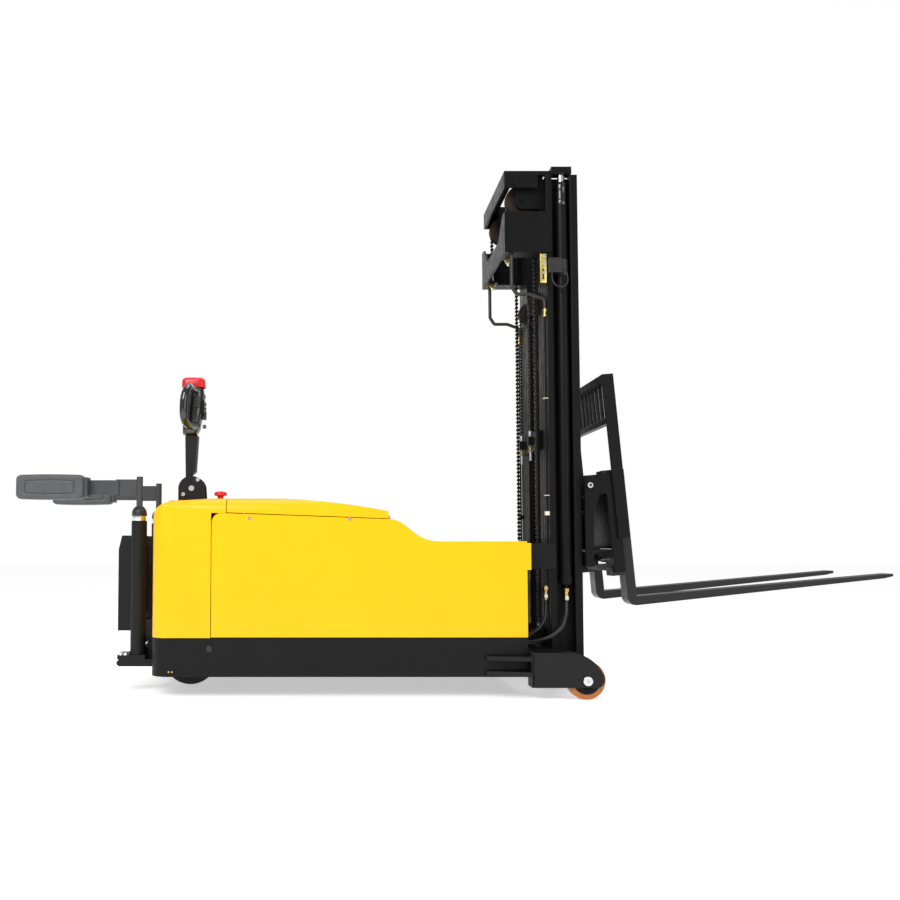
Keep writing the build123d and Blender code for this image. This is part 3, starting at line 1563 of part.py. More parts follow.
# ---- Fasteners and pins that stay with the chassis ---------------------------------------------
fasteners = []
for side in SIDES.values():
    fasteners.append(
        solid_bar(
            axle_bolt_r,
            (axle_x, side * (bracket_in - 3), load_wheel_r),
            (axle_x, side * bracket_out, load_wheel_r),
        )
    )
    fasteners.append(
        solid_bar(
            hinge_pin_r,
            (hinge_x, side * hinge_at_y - 32, hinge_z),
            (hinge_x, side * hinge_at_y + 32, hinge_z),
        )
    )
    fasteners.append(
        solid_bar(
            18,
            (axle_x, side * bracket_out, load_wheel_r),
            (axle_x, side * (bracket_out + 10), load_wheel_r),
        )
    )
    for screw_x in (axle_x - 1409, axle_x - 982):
        with BuildPart() as screw:
            bar(3.4, (screw_x, side * (body_half - 14), 754), (screw_x, side * body_half, 754))
            bar(8, (screw_x, side * body_half, 754), (screw_x, side * (body_half + 3), 754))
        fasteners.append(screw.part)
    fasteners.append(
        solid_bar(
            platform_pin_r,
            (platform_hinge_x, side * (platform_half - 60), platform_hinge_z),
            (platform_hinge_x, side * (post_y - post_r - seat_gap), platform_hinge_z),
        )
    )
save("bolts_and_pins", *fasteners)
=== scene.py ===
"""The finished look of a counterbalanced walkie stacker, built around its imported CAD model."""
import bmesh
import bpy
import json
import math
from mathutils import Matrix, Vector


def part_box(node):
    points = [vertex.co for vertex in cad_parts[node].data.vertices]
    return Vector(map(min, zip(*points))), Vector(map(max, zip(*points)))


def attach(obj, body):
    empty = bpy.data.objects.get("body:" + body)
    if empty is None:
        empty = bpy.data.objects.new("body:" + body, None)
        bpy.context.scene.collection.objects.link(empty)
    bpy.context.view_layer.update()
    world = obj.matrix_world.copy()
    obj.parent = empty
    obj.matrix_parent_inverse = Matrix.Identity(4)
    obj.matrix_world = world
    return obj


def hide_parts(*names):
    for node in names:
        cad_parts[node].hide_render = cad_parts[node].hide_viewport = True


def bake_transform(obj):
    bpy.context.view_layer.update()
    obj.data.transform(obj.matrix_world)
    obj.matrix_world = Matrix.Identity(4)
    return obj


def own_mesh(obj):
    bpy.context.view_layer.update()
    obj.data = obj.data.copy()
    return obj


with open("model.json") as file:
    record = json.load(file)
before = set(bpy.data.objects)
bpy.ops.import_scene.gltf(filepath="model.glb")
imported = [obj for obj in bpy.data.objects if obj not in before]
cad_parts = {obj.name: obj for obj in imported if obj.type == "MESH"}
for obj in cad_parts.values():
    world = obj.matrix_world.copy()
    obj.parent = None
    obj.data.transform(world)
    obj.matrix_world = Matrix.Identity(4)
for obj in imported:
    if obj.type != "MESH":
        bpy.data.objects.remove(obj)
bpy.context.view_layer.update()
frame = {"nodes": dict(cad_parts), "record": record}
nodes = frame["nodes"]
node_body = {n: body for body, names in frame["record"]["behaviour"]["bodies"].items() for n in names}
node_slot = {s["node"]: s["material_slot"] for s in frame["record"]["subparts"]}
MM = 0.001
SIDES = {"right": -1, "left": 1}
UP, DOWN = (0, 0, 1), (0, 0, -1)


def centre(node):
    """The middle of a CAD node's box."""
    low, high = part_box(node)
    return (low + high) / 2


# ---- Materials: one function lays a base, the colour variation, the roughness variation and the relief ---
def node_of(tree, kind, place, **settings):
    """Adds a shader node and sets its sockets."""
    made = tree.nodes.new(kind)
    made.location = place
    for name, value in settings.items():
        made.inputs[name.replace("_", " ")].default_value = value
    return made


MATERIALS = {}


def material(name, colour, roughness, metallic=0.0, tint=0.12, tint_scale=9.0, rough_spread=0.08,
             relief=0.15, relief_scale=900.0, relief_depth=0.0004, coat=0.0, coat_roughness=0.05,
             stretch=(1, 1, 1), wear=0.0, wear_colour=(0.4, 0.4, 0.4, 1), specular=0.5):
    """A painted, cast, moulded or machined surface, with drift in its colour and gloss and a fine relief."""
    made = bpy.data.materials.new(name)
    made.use_nodes = True
    tree = made.node_tree
    shader = tree.nodes["Principled BSDF"]
    shader.inputs["Metallic"].default_value = metallic
    shader.inputs["Coat Weight"].default_value = coat
    shader.inputs["Coat Roughness"].default_value = coat_roughness
    shader.inputs["Specular IOR Level"].default_value = specular
    link = tree.links.new
    place = tree.nodes.new("ShaderNodeTexCoord")
    mapped = node_of(tree, "ShaderNodeMapping", (-900, 0), Scale=stretch)
    link(place.outputs["Object"], mapped.inputs["Vector"])

    drift = node_of(tree, "ShaderNodeTexNoise", (-700, 200), Scale=tint_scale, Detail=5.0, Roughness=0.6)
    link(mapped.outputs["Vector"], drift.inputs["Vector"])
    shades = tree.nodes.new("ShaderNodeValToRGB")
    dark = tuple(c * (1 - tint) for c in colour)
    light = tuple(min(1.0, c * (1 + tint * 0.6)) for c in colour)
    shades.color_ramp.elements[0].position = 0.3
    shades.color_ramp.elements[0].color = (*dark, 1)
    shades.color_ramp.elements[1].position = 0.7
    shades.color_ramp.elements[1].color = (*light, 1)
    link(drift.outputs["Fac"], shades.inputs["Fac"])
    painted = shades.outputs["Color"]
    if wear:
        scuff = node_of(tree, "ShaderNodeTexNoise", (-700, 500), Scale=55.0, Detail=8.0, Roughness=0.75)
        link(mapped.outputs["Vector"], scuff.inputs["Vector"])
        edge = node_of(tree, "ShaderNodeMapRange", (-500, 500), From_Min=0.66, From_Max=0.74, To_Max=wear)
        link(scuff.outputs["Fac"], edge.inputs["Value"])
        mixed = tree.nodes.new("ShaderNodeMix")
        mixed.data_type = "RGBA"
        link(edge.outputs["Result"], mixed.inputs[0])
        link(painted, mixed.inputs[6])
        mixed.inputs[7].default_value = wear_colour
        painted = mixed.outputs[2]
    link(painted, shader.inputs["Base Color"])

    gloss = node_of(tree, "ShaderNodeTexNoise", (-700, -100), Scale=tint_scale * 3, Detail=6.0, Roughness=0.6)
    link(mapped.outputs["Vector"], gloss.inputs["Vector"])
    spread = node_of(
        tree,
        "ShaderNodeMapRange",
        (-500, -100),
        From_Min=0.3,
        From_Max=0.7,
        To_Min=max(0.02, roughness - rough_spread),
        To_Max=min(1.0, roughness + rough_spread),
    )
    link(gloss.outputs["Fac"], spread.inputs["Value"])
    link(spread.outputs["Result"], shader.inputs["Roughness"])

    if relief:
        grain = node_of(
            tree, "ShaderNodeTexNoise", (-700, -400), Scale=relief_scale, Detail=3.0, Roughness=0.5,
        )
        link(mapped.outputs["Vector"], grain.inputs["Vector"])
        bump = node_of(tree, "ShaderNodeBump", (-300, -400), Strength=relief, Distance=relief_depth)
        link(grain.outputs["Fac"], bump.inputs["Height"])
        link(bump.outputs["Normal"], shader.inputs["Normal"])
    MATERIALS[name] = made


material("body_yellow", (0.86, 0.462, 0.0012), 0.34, tint=0.03, tint_scale=3, rough_spread=0.04,
         relief=0.08, relief_scale=260, relief_depth=0.0006, coat=0.12, coat_roughness=0.12,
         specular=0.18)
material("frame_grey", (0.009, 0.009, 0.0095), 0.5, relief=0.35, relief_scale=1300, specular=0.2)
material("skirt_grey", (0.0065, 0.0065, 0.007), 0.45, relief=0.3, relief_scale=1100, specular=0.15)
material("mast_grey", (0.004, 0.004, 0.0043), 0.42, relief=0.3, relief_scale=1100, specular=0.13)
material("fork_black", (0.010, 0.010, 0.0105), 0.38, relief=0.35, relief_scale=420, wear=0.35,
         specular=0.3, wear_colour=(0.09, 0.09, 0.09, 1), stretch=(0.25, 1, 1))
material("machined_steel", (0.55, 0.55, 0.53), 0.3, metallic=1.0, relief=0.1, relief_scale=1500)
material("chrome_rod", (0.78, 0.78, 0.79), 0.09, metallic=1.0, tint=0.03, rough_spread=0.03,
         relief=0.03, relief_scale=1800, stretch=(1, 1, 12))
material("cast_housing", (0.03, 0.03, 0.032), 0.6, relief=0.6, relief_scale=500, relief_depth=0.0008)
material("aluminium_fins", (0.6, 0.6, 0.6), 0.38, metallic=1.0)
material("polyurethane", (0.42, 0.13, 0.022), 0.42, tint=0.18, tint_scale=30, relief=0.25,
         relief_scale=600, wear=0.3, wear_colour=(0.12, 0.06, 0.03, 1))
material("black_tyre", (0.012, 0.012, 0.012), 0.75, relief=0.6, relief_scale=500, relief_depth=0.001,
         wear=0.4, wear_colour=(0.05, 0.045, 0.04, 1))
material("chain_steel", (0.035, 0.032, 0.028), 0.35, metallic=0.9, tint=0.4, tint_scale=120)
material("hose_rubber", (0.011, 0.011, 0.011), 0.42, relief=0.3, relief_scale=1500)
# Pad foam: the base grey is lighter than the foam's own dark grey, as painted light for the key light falling
# on the pad faces.
material("pad_foam", (0.075, 0.078, 0.083), 0.5, specular=0.3, relief=0.7, relief_scale=650,
         relief_depth=0.0005, tint=0.15, tint_scale=22)
material("mat_rubber", (0.013, 0.013, 0.013), 0.7, relief=0.7, relief_scale=480, relief_depth=0.0008)
material("black_plastic", (0.009, 0.009, 0.0095), 0.4, relief=0.45, relief_scale=1400)
material("gloss_black", (0.004, 0.004, 0.0043), 0.13, tint=0.05, rough_spread=0.05, relief=0.03,
         coat=0.7)
material("red_plastic", (0.62, 0.010, 0.014), 0.28, tint=0.06, rough_spread=0.05, relief=0.06,
         coat=0.15, specular=0.35)
material("battery_plastic", (0.02, 0.02, 0.022), 0.5, relief=0.5, relief_scale=700)
material("brass", (0.62, 0.42, 0.14), 0.28, metallic=1.0, tint=0.2, tint_scale=60)
material("zinc_yellow", (0.75, 0.62, 0.2), 0.34, metallic=1.0, tint=0.35, tint_scale=45)
material("zinc", (0.66, 0.67, 0.68), 0.27, metallic=1.0, tint=0.12, tint_scale=70)
material("cream_plastic", (0.72, 0.66, 0.52), 0.5, relief=0.2)
material("bronze", (0.03, 0.022, 0.016), 0.45, metallic=0.4, specular=0.2, tint=0.3, tint_scale=40)
# Arm grey: a lit copy of the frame grey, lighter as painted light where the key light falls on the side arms.
material("arm_grey_painted_lit", (0.050, 0.052, 0.055), 0.46, relief=0.4, relief_scale=1200, specular=0.3)
material("fitting_grey", (0.12, 0.12, 0.125), 0.45, relief=0.25)


# ---- Mesh helpers ----------------------------------------------------------------------------------------
def linked(name, data):
    """A new object in the scene."""
    made = bpy.data.objects.new(name, data)
    bpy.context.scene.collection.objects.link(made)
    return made


def piece(name, mesh, body, slot, look=None):
    """Links a mesh as an object that rides on a body, or on none yet, and wears a material."""
    made = linked(name, mesh)
    made.data.materials.clear()
    made.data.materials.append(MATERIALS[look or slot])
    if body:
        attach(made, body)
    return made


def smooth(mesh, angle=35):
    """Smooth shading with creases kept at edges sharper than the angle."""
    mesh.polygons.foreach_set("use_smooth", [True] * len(mesh.polygons))
    limit = math.radians(angle)
    made = bmesh.new()
    made.from_mesh(mesh)
    for edge in made.edges:
        edge.smooth = not (len(edge.link_faces) == 2 and edge.calc_face_angle(0) > limit)
    made.to_mesh(mesh)
    made.free()


def settled(made):
    """The mesh that an object's modifiers or curve give."""
    bpy.context.view_layer.update()
    return bpy.data.meshes.new_from_object(made.evaluated_get(bpy.context.evaluated_depsgraph_get()))


def apply_modifiers(made):
    """Turns an object's modifiers into mesh."""
    mesh = settled(made)
    made.modifiers.clear()
    made.data = mesh


MERGE_WITHIN = 0.00002
FLAT_WITHIN = math.radians(1)
SHARP_FROM = math.radians(32)


def softened(node, width, look=None):
    """A copy of a CAD node with every sharp edge rounded, which stands for the node."""
    made = bmesh.new()
    made.from_mesh(nodes[node].data)
    bmesh.ops.remove_doubles(made, verts=made.verts, dist=MERGE_WITHIN)
    flat = [e for e in made.edges if len(e.link_faces) == 2]
    bmesh.ops.dissolve_limit(made, angle_limit=FLAT_WITHIN, verts=made.verts, edges=flat)
    mesh = bpy.data.meshes.new(f"{node}_form")
    made.to_mesh(mesh)
    made.free()
    shown = piece(f"{node}_shape", mesh, node_body[node], node_slot[node], look)
    round_off = shown.modifiers.new("rounding", "BEVEL")
    round_off.width = width
    round_off.segments = 2
    round_off.limit_method = "ANGLE"
    round_off.angle_limit = SHARP_FROM
    round_off.use_clamp_overlap = True
    round_off.harden_normals = True
    weigh = shown.modifiers.new("weigh", "WEIGHTED_NORMAL")
    weigh.keep_sharp = True
    apply_modifiers(shown)
    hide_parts(node)
    return shown


# The rounding of each CAD node, in millimetres.
ROUNDED = {
    "rear_cover": 2.5, "right_side_cover": 1.5, "left_side_cover": 1.5, "front_deck": 1.5,
    "battery_hood": 1.5, "chassis_frame": 2.0, "rear_brackets": 2.0, "right_wheel_bracket": 2.5,
    "left_wheel_bracket": 2.5, "tiller_base": 1.5, "tiller_arm": 2.0, "armrest_posts": 1.5,
    "right_side_arm": 2.0, "left_side_arm": 2.0, "right_outer_rail": 2.5, "left_outer_rail": 2.5,
    "outer_mast_ties": 2.5, "chain_anchor_bracket": 2.5, "lift_cylinders": 1.5, "middle_mast": 2.5,
    "crosshead": 2.5, "inner_mast": 2.5, "free_lift_cylinder": 1.5, "free_lift_head": 2.0, "carriage": 2.5,
    "fork_frame": 3.0, "load_backrest": 2.0, "right_fork": 3.0, "left_fork": 3.0, "lift_rocker": 1.0,
    "throttle_paddles": 2.0, "limit_switch": 1.5, "motor_controller": 1.0, "battery": 2.0,
    "hydraulic_unit": 2.0, "step_platform": 4.0, "platform_mat": 1.5, "bolts_and_pins": 0.8,
    "tiller_pin": 0.6,
}
LOOKS = {
    "chassis_frame": "skirt_grey", "chain_wheels": "bronze", "free_lift_wheels": "bronze",
    # the side arms wear the lit copy of the frame grey: painted light
    "right_side_arm": "arm_grey_painted_lit", "left_side_arm": "arm_grey_painted_lit", "load_backrest": "mast_grey",
}
for node_name, width in ROUNDED.items():
    softened(node_name, width * MM, LOOKS.get(node_name))
for node_name, cad in nodes.items():
    if node_name not in ROUNDED:
        cad.data.materials.clear()
        cad.data.materials.append(MATERIALS[LOOKS.get(node_name, node_slot[node_name])])

# ---- Builders for the detail pieces ----------------------------------------------------------------------
def around(sides, start=0.0):
    """The angles of equal steps round a circle."""
    return [2 * math.pi * step / sides + start for step in range(sides)]


def circle(made, radius, level, sides, start=0.0):
    """A ring of vertices about the Z axis."""
    return [
        made.verts.new((radius * math.cos(angle), radius * math.sin(angle), level))
        for angle in around(sides, start)
    ]


def squared_ring(made, middle, half_x, half_y, power, sides):
    """A level ring of vertices: a power of 1 gives an ellipse, and less gives squarer sides."""
    ring = []
    for angle in around(sides):
        x = math.copysign(abs(math.cos(angle)) ** power, math.cos(angle)) * half_x
        y = math.copysign(abs(math.sin(angle)) ** power, math.sin(angle)) * half_y
        ring.append(made.verts.new((middle[0] + x, middle[1] + y, middle[2])))
    return ring


def skin(made, rings):
    """Joins rings of vertices with faces, and closes the first and the last."""
    for low, high in zip(rings, rings[1:]):
        for step in range(len(low)):
            after = (step + 1) % len(low)
            made.faces.new((low[step], low[after], high[after], high[step]))
    made.faces.new(list(reversed(rings[0])))
    made.faces.new(rings[-1])


def aimed(base, axis):
    """The matrix that stands a piece on a base along an axis."""
    return Matrix.Translation(base) @ Vector(axis).to_track_quat("Z", "Y").to_matrix().to_4x4()


def turned(name, profile, base, axis, body, slot, look=None, steps=40, sharp=35):
    """A piece turned on a lathe: profile is (radius, height) pairs along the axis from its base."""
    made = bmesh.new()
    skin(made, [circle(made, radius, height, steps) for radius, height in profile])
    made.transform(aimed(base, axis))
    return finished(name, made, body, slot, look, sharp)


def finished(name, made, body, slot, look=None, sharp=35):
    """Turns a bmesh into a smooth-shaded piece."""
    bmesh.ops.recalc_face_normals(made, faces=made.faces)
    mesh = bpy.data.meshes.new(name)
    made.to_mesh(mesh)
    made.free()
    smooth(mesh, sharp)
    return piece(name, mesh, body, slot, look)


def hexagon(name, base, axis, flats, height, body, slot="machined_steel", look="zinc", washer=True):
    """A hexagon head, drawn in at the top, with or without a washer under it."""
    corner = flats / math.sqrt(3)
    profile = ((corner, 0), (corner, height * 0.82), (corner * 0.84, height))
    made = bmesh.new()
    skin(made, [circle(made, radius, level, 6) for radius, level in profile])
    if washer:
        thick = height * 0.24
        disc = bmesh.ops.create_cone(
            made, cap_ends=True, segments=32, radius1=flats * 0.78, radius2=flats * 0.74, depth=thick
        )
        bmesh.ops.translate(made, verts=disc["verts"], vec=(0, 0, thick / 2))
    made.transform(aimed(base, axis))
    return finished(name, made, body, slot, look, 25)


def tube(name, points, radius, body, slot, look=None, knots=None, sides=8):
    """A round tube along a smooth line, closed at both ends."""
    line = bpy.data.curves.new(name + "_line", "CURVE")
    line.dimensions = "3D"
    line.bevel_depth = radius
    line.bevel_resolution = sides // 2
    line.resolution_u = 10
    line.use_fill_caps = True
    run = line.splines.new("NURBS")
    run.points.add(len(points) - 1)
    for knot, place in zip(run.points, points):
        knot.co = (*place, 1)
    run.order_u = knots or 3
    run.use_endpoint_u = True
    holder = linked(name + "_line", line)
    mesh = settled(holder)
    bpy.data.objects.remove(holder)
    smooth(mesh, 50)
    mesh.name = name
    return piece(name, mesh, body, slot, look)


def weld(name, start, end, radius, body):
    """A rippled weld bead between two points."""
    start, end = Vector(start), Vector(end)
    ripples = max(4, int((end - start).length / (radius * 0.9)))
    made = bmesh.new()
    along = (end - start).to_track_quat("Z", "Y").to_matrix().to_4x4()
    rings = []
    for ripple in range(2 * ripples + 1):
        share = ripple / (2 * ripples)
        bead = radius * (1.0 if ripple % 2 else 0.72)
        if ripple in (0, 2 * ripples):
            bead = radius * 0.3
        middle = start + (end - start) * share
        rings.append([
            made.verts.new(middle + along @ Vector((bead * math.cos(angle), bead * math.sin(angle), 0)))
            for angle in around(10)
        ])
    skin(made, rings)
    return finished(name, made, body, "frame_grey", "mast_grey", 60)


def slab(name, low, high, body, slot, look=None, rounding=0.002, segments=3):
    """A box with rounded edges."""
    low, high = Vector(low), Vector(high)
    made = bmesh.new()
    bmesh.ops.create_cube(made, size=1)
    bmesh.ops.scale(made, vec=high - low, verts=made.verts)
    bmesh.ops.translate(made, vec=(high + low) / 2, verts=made.verts)
    bmesh.ops.bevel(
        made, geom=list(made.edges), offset=rounding, segments=segments, profile=0.5, affect="EDGES"
    )
    return finished(name, made, body, slot, look, 40)


def link_outline(pitch, height):
    """The outline of a leaf-chain plate: two round ends and a waist."""
    outline = []
    for end, first in ((1, -70), (-1, 110)):
        for step in range(6):
            angle = math.radians(first + step * 28)
            outline.append((height / 2 * math.cos(angle), end * pitch / 2 + height / 2 * math.sin(angle)))
    return outline


def chain(name, way, side_y, width, pitch, height, body=None):
    """A leaf chain along a way, which gives a place and a direction in the XZ plane at each distance."""
    made = bmesh.new()
    plates = 5
    thick = width / plates
    count = int(way.length / pitch)
    for link in range(count):
        place, heading = way.at((link + 0.5) * pitch)
        turn = Matrix.Translation((place[0], side_y, place[1])) @ Matrix.Rotation(heading, 4, "Y")
        for plate in range(plates):
            if (plate + link) % 2:
                continue
            near = -width / 2 + plate * thick + thick * 0.06
            far = near + thick * 0.88
            faces = []
            for level in (near, far):
                faces.append(
                    [made.verts.new(turn @ Vector((x, level, z))) for x, z in link_outline(pitch, height)]
                )
            made.faces.new(faces[0])
            made.faces.new(list(reversed(faces[1])))
            for step in range(len(faces[0])):
                after = (step + 1) % len(faces[0])
                made.faces.new((faces[0][step], faces[1][step], faces[1][after], faces[0][after]))
        pin = bmesh.ops.create_cone(
            made, cap_ends=True, segments=10, radius1=height * 0.26, radius2=height * 0.26,
            depth=width + 0.0035,
        )
        at_end = turn @ Matrix.Translation((0, 0, pitch / 2)) @ Matrix.Rotation(math.pi / 2, 4, "X")
        bmesh.ops.transform(made, matrix=at_end, verts=pin["verts"])
        for face in {f for v in pin["verts"] for f in v.link_faces}:
            face.material_index = 1
    made_piece = finished(name, made, body, "chain_steel", None, 30)
    made_piece.data.materials.append(MATERIALS["machined_steel"])
    return made_piece


class Straight:
    """A vertical way from one level up to another."""

    def __init__(self, x, low, high):
        self.x, self.low, self.length = x, low, high - low

    def at(self, distance):
        return (self.x, self.low + distance), 0.0


class OverWheel:
    """The half turn over a chain wheel, from its front to its rear."""

    def __init__(self, x, z, radius):
        self.x, self.z, self.radius = x, z, radius
        self.length = math.pi * radius

    def at(self, distance):
        angle = distance / self.radius
        return (
            (self.x + self.radius * math.cos(angle), self.z + self.radius * math.sin(angle)),
            -angle,
        )


# ---- Lift chains -----------------------------------------------------------------------------------------
lift_wheel = centre("chain_wheels")
rear_chain_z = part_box("lift_chains_rear")[0].z
front_chain_low, front_chain_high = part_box("lift_chains_front")
CHAIN_T = 0.016
LIFT_PITCH = 0.0191
lift_radius = front_chain_high.z - lift_wheel.z - CHAIN_T / 2
LIFT_WIDTH = 0.020
lift_chain_y = front_chain_high.y - LIFT_WIDTH / 2
ANCHOR_LENGTH = 0.072
ANCHOR_NUTS = (11, 22)  # in millimetres above the chain's lowest point
rear_anchor_z = rear_chain_z + ANCHOR_LENGTH
ear_top = front_chain_low.z
for side_name, side in SIDES.items():
    y = side * lift_chain_y
    rear_x, front_x = lift_wheel.x - lift_radius, lift_wheel.x + lift_radius
    rear = chain(
        f"{side_name}_rear_chain", Straight(rear_x, rear_anchor_z, lift_wheel.z), y, LIFT_WIDTH, LIFT_PITCH,
        CHAIN_T,
    )
    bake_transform(rear)
    chain(
        f"{side_name}_over_wheel_chain", OverWheel(lift_wheel.x, lift_wheel.z, lift_radius), y, LIFT_WIDTH,
        LIFT_PITCH, CHAIN_T, "middle_mast",
    )
    front = chain(
        f"{side_name}_front_chain", Straight(front_x, ear_top, lift_wheel.z), y, LIFT_WIDTH, LIFT_PITCH,
        CHAIN_T,
    )
    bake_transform(front)
    turned(
        f"{side_name}_chain_anchor",
        [(0.006, 0), (0.006, 0.034), (0.011, 0.035), (0.011, 0.056), (0.0085, 0.058), (0.0085, 0.078)],
        (rear_x, y, rear_chain_z), UP, "chassis", "machined_steel", "zinc", 20,
    )
    for level in ANCHOR_NUTS:
        hexagon(f"{side_name}_anchor_nut_{level}", (rear_x, y, rear_chain_z + level * MM), UP, 0.021,
                0.009, "chassis", "machined_steel", "zinc_yellow", washer=level == ANCHOR_NUTS[-1])
    if side < 0:
        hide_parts("lift_chains_rear")
        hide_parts("lift_chains_front")
    turned(
        f"{side_name}_front_chain_yoke",
        [(0.006, 0), (0.006, 0.05), (0.0105, 0.052), (0.0105, 0.085), (0.007, 0.09)],
        (front_x, y, ear_top - 0.085), UP, "inner_mast", "machined_steel", "zinc", 20,
    )

# ---- Free-lift chains ------------------------------------------------------------------------------------
free_wheel = centre("free_lift_wheels")
free_low, free_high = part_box("free_lift_chains")
FREE_T = 0.012
FREE_PITCH = 0.0159
FREE_ANCHOR_Z = 1.168
FREE_ROD_Z = 1.03
FREE_NUTS = (1.072, 1.088, 1.142)
FREE_WHEEL_INNER = 0.09
free_radius = free_high.z - free_wheel.z - FREE_T / 2
FREE_WIDTH = 0.016
free_chain_y = (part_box("free_lift_wheels")[1].y + FREE_WHEEL_INNER) / 2
for side_name, side in SIDES.items():
    y = side * free_chain_y
    rear_x, front_x = free_wheel.x - free_radius, free_wheel.x + free_radius
    rear = chain(
        f"{side_name}_free_rear_chain", Straight(rear_x, FREE_ANCHOR_Z, free_wheel.z), y, FREE_WIDTH,
        FREE_PITCH, FREE_T,
    )
    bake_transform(rear)
    chain(
        f"{side_name}_free_over_chain", OverWheel(free_wheel.x, free_wheel.z, free_radius), y, FREE_WIDTH,
        FREE_PITCH, FREE_T, "free_lift_head",
    )
    front = chain(
        f"{side_name}_free_front_chain", Straight(front_x, free_low.z, free_wheel.z), y, FREE_WIDTH,
        FREE_PITCH, FREE_T, "free_lift_head",
    )
    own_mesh(front)
    if side < 0:
        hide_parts("free_lift_chains")
    turned(
        f"{side_name}_free_anchor_rod",
        [(0.006, 0), (0.006, 0.112), (0.009, 0.114), (0.009, 0.136), (0.007, 0.138)],
        (rear_x, y, FREE_ROD_Z), UP, "inner_mast", "machined_steel", "zinc", 20,
    )
    for level in FREE_NUTS:
        hexagon(f"{side_name}_free_anchor_nut_{round(level * 1000)}", (rear_x, y, level), UP, 0.017, 0.009,
                "inner_mast", "machined_steel", "brass", washer=False)

# ---- Arm pads: moulded foam with a crowned skin and a sunk panel on each side ----------------------------
PAD_SIDE = (
    # depth in from the face, inset above and below, more inset at the ends:
    # the panel, its groove, the lip and the rounded shoulder
    (0.0003, 0.0360, 0.016), (0.0003, 0.0285, 0.016), (0.0010, 0.0275, 0.016), (0.0032, 0.0270, 0.016),
    (0.0034, 0.0252, 0.016), (0.0010, 0.0245, 0.016), (0.0, 0.0235, 0.015), (0.0, 0.0120, 0.003),
    (0.0007, 0.0085, 0.0), (0.0026, 0.0045, 0.0), (0.0060, 0.0017, 0.0), (0.0110, 0.0004, 0.0),
    (0.0180, 0.0, 0.0),
)


def rounded_outline(half_x, half_z, corner, crown, steps=10):
    """A rounded rectangle in the XZ plane whose long sides bulge a little."""
    outline = []
    for turn in range(4):
        side_x, side_z = ((1, 1), (-1, 1), (-1, -1), (1, -1))[turn]
        for step in range(steps + 1):
            angle = math.pi / 2 * (turn + step / steps)
            outline.append((
                side_x * (half_x - corner) + corner * math.cos(angle),
                side_z * (half_z - corner) + corner * math.sin(angle),
            ))
        if turn in (0, 2):
            for step in range(1, 8):
                share = 1 - 2 * step / 8
                outline.append(
                    (side_x * (half_x - corner) * share, side_z * (half_z + crown * (1 - share * share))),
                )
    return outline


def arm_pad(side_name):
    """One armrest pad, crowned above and below, with a groove round the panel on both faces."""
    node = f"{side_name}_arm_pad"
    low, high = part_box(node)
    middle, half = (low + high) / 2, (high - low) / 2
    made = bmesh.new()
    layers = [(-half.y + depth, inset, more) for depth, inset, more in PAD_SIDE]
    layers += [(half.y - depth, inset, more) for depth, inset, more in reversed(PAD_SIDE)]
    rings = []
    for level, inset, more in layers:
        corner = max(0.009, 0.022 - inset)
        outline = rounded_outline(half.x - 0.0005 - inset - more, half.z - 0.003 - inset, corner, 0.0025)
        rings.append([made.verts.new((middle.x + x, middle.y + level, middle.z + z)) for x, z in outline])
    skin(made, rings)
    # The pad wears the lightened foam, whose grey carries painted light.
    pad = finished(f"{side_name}_pad_skin", made, node_body[node], "pad_foam", None, 60)
    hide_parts(node)


for side_name in SIDES:
    arm_pad(side_name)

# ---- Posts: chromed neck and rubber boot -----------------------------------------------------------------
post_low, post_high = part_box("armrest_posts")
post_x = (post_low.x + post_high.x) / 2
post_y = post_high.y - (post_high.x - post_low.x) / 2
NECK_Z = 0.749
for side_name, side in SIDES.items():
    turned(
        f"{side_name}_post_neck",
        [(0.0147, 0), (0.0285, 0.0), (0.0288, 0.001), (0.0288, 0.021), (0.0147, 0.0215)],
        (post_x, side * post_y, NECK_Z + 0.0005), UP, "chassis", "chrome_rod",
    )
    turned(
        f"{side_name}_post_boot",
        [(0.0245, 0), (0.0325, 0.0005), (0.0335, 0.002), (0.0335, 0.013), (0.0322, 0.0148), (0.0318, 0.0165),
         (0.0325, 0.018), (0.0318, 0.021), (0.028, 0.03), (0.0225, 0.0355), (0.0205, 0.038), (0.0205, 0.041),
         (0.0152, 0.0425)],
        (post_x, side * post_y, NECK_Z + 0.0218), UP, "chassis", "hose_rubber",
    )

# ---- Foot plates and load wheels -------------------------------------------------------------------------
FOOT_BOLTS_BACK, FOOT_BOLTS_OUT = (0.070, 0.048), (-0.026, 0.026)
for side_name, side in SIDES.items():
    for row, bolt_x in enumerate(post_x - back for back in FOOT_BOLTS_BACK):
        for column, bolt_y in enumerate(post_y + out for out in FOOT_BOLTS_OUT):
            hexagon(f"{side_name}_foot_bolt_{row}{column}", (bolt_x, side * bolt_y, post_low.z + 0.0002), UP,
                    0.019, 0.0105, "chassis")
    load_wheel = centre(f"{side_name}_load_wheel")
    outer_face = max(abs(corner.y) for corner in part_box(f"{side_name}_wheel_bracket"))
    turned(
        f"{side_name}_axle_cap",
        [(0.0185, 0), (0.0195, 0.001), (0.0195, 0.0095), (0.0175, 0.0112), (0.009, 0.0112), (0.0075, 0.006)],
        (load_wheel.x, side * outer_face, load_wheel.z), (0, side, 0), "chassis", "machined_steel", "zinc",
    )
    wheel_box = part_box(f"{side_name}_load_wheel")
    wheel_width = wheel_box[1].y - wheel_box[0].y
    turned(
        f"{side_name}_wheel_hub",
        [
            (0.0145, 0.0045), (0.034, 0.0045), (0.036, 0.0), (0.054, 0.0), (0.0575, 0.001),
            (0.0575, wheel_width), (0.054, wheel_width + 0.001), (0.036, wheel_width + 0.001),
            (0.034, wheel_width - 0.0035), (0.0145, wheel_width - 0.0035),
        ],
        (load_wheel.x, load_wheel.y - wheel_width / 2 - 0.0005, load_wheel.z), (0, 1, 0),
        f"{side_name}_load_wheel", "cast_housing", "mast_grey", 56,
    )

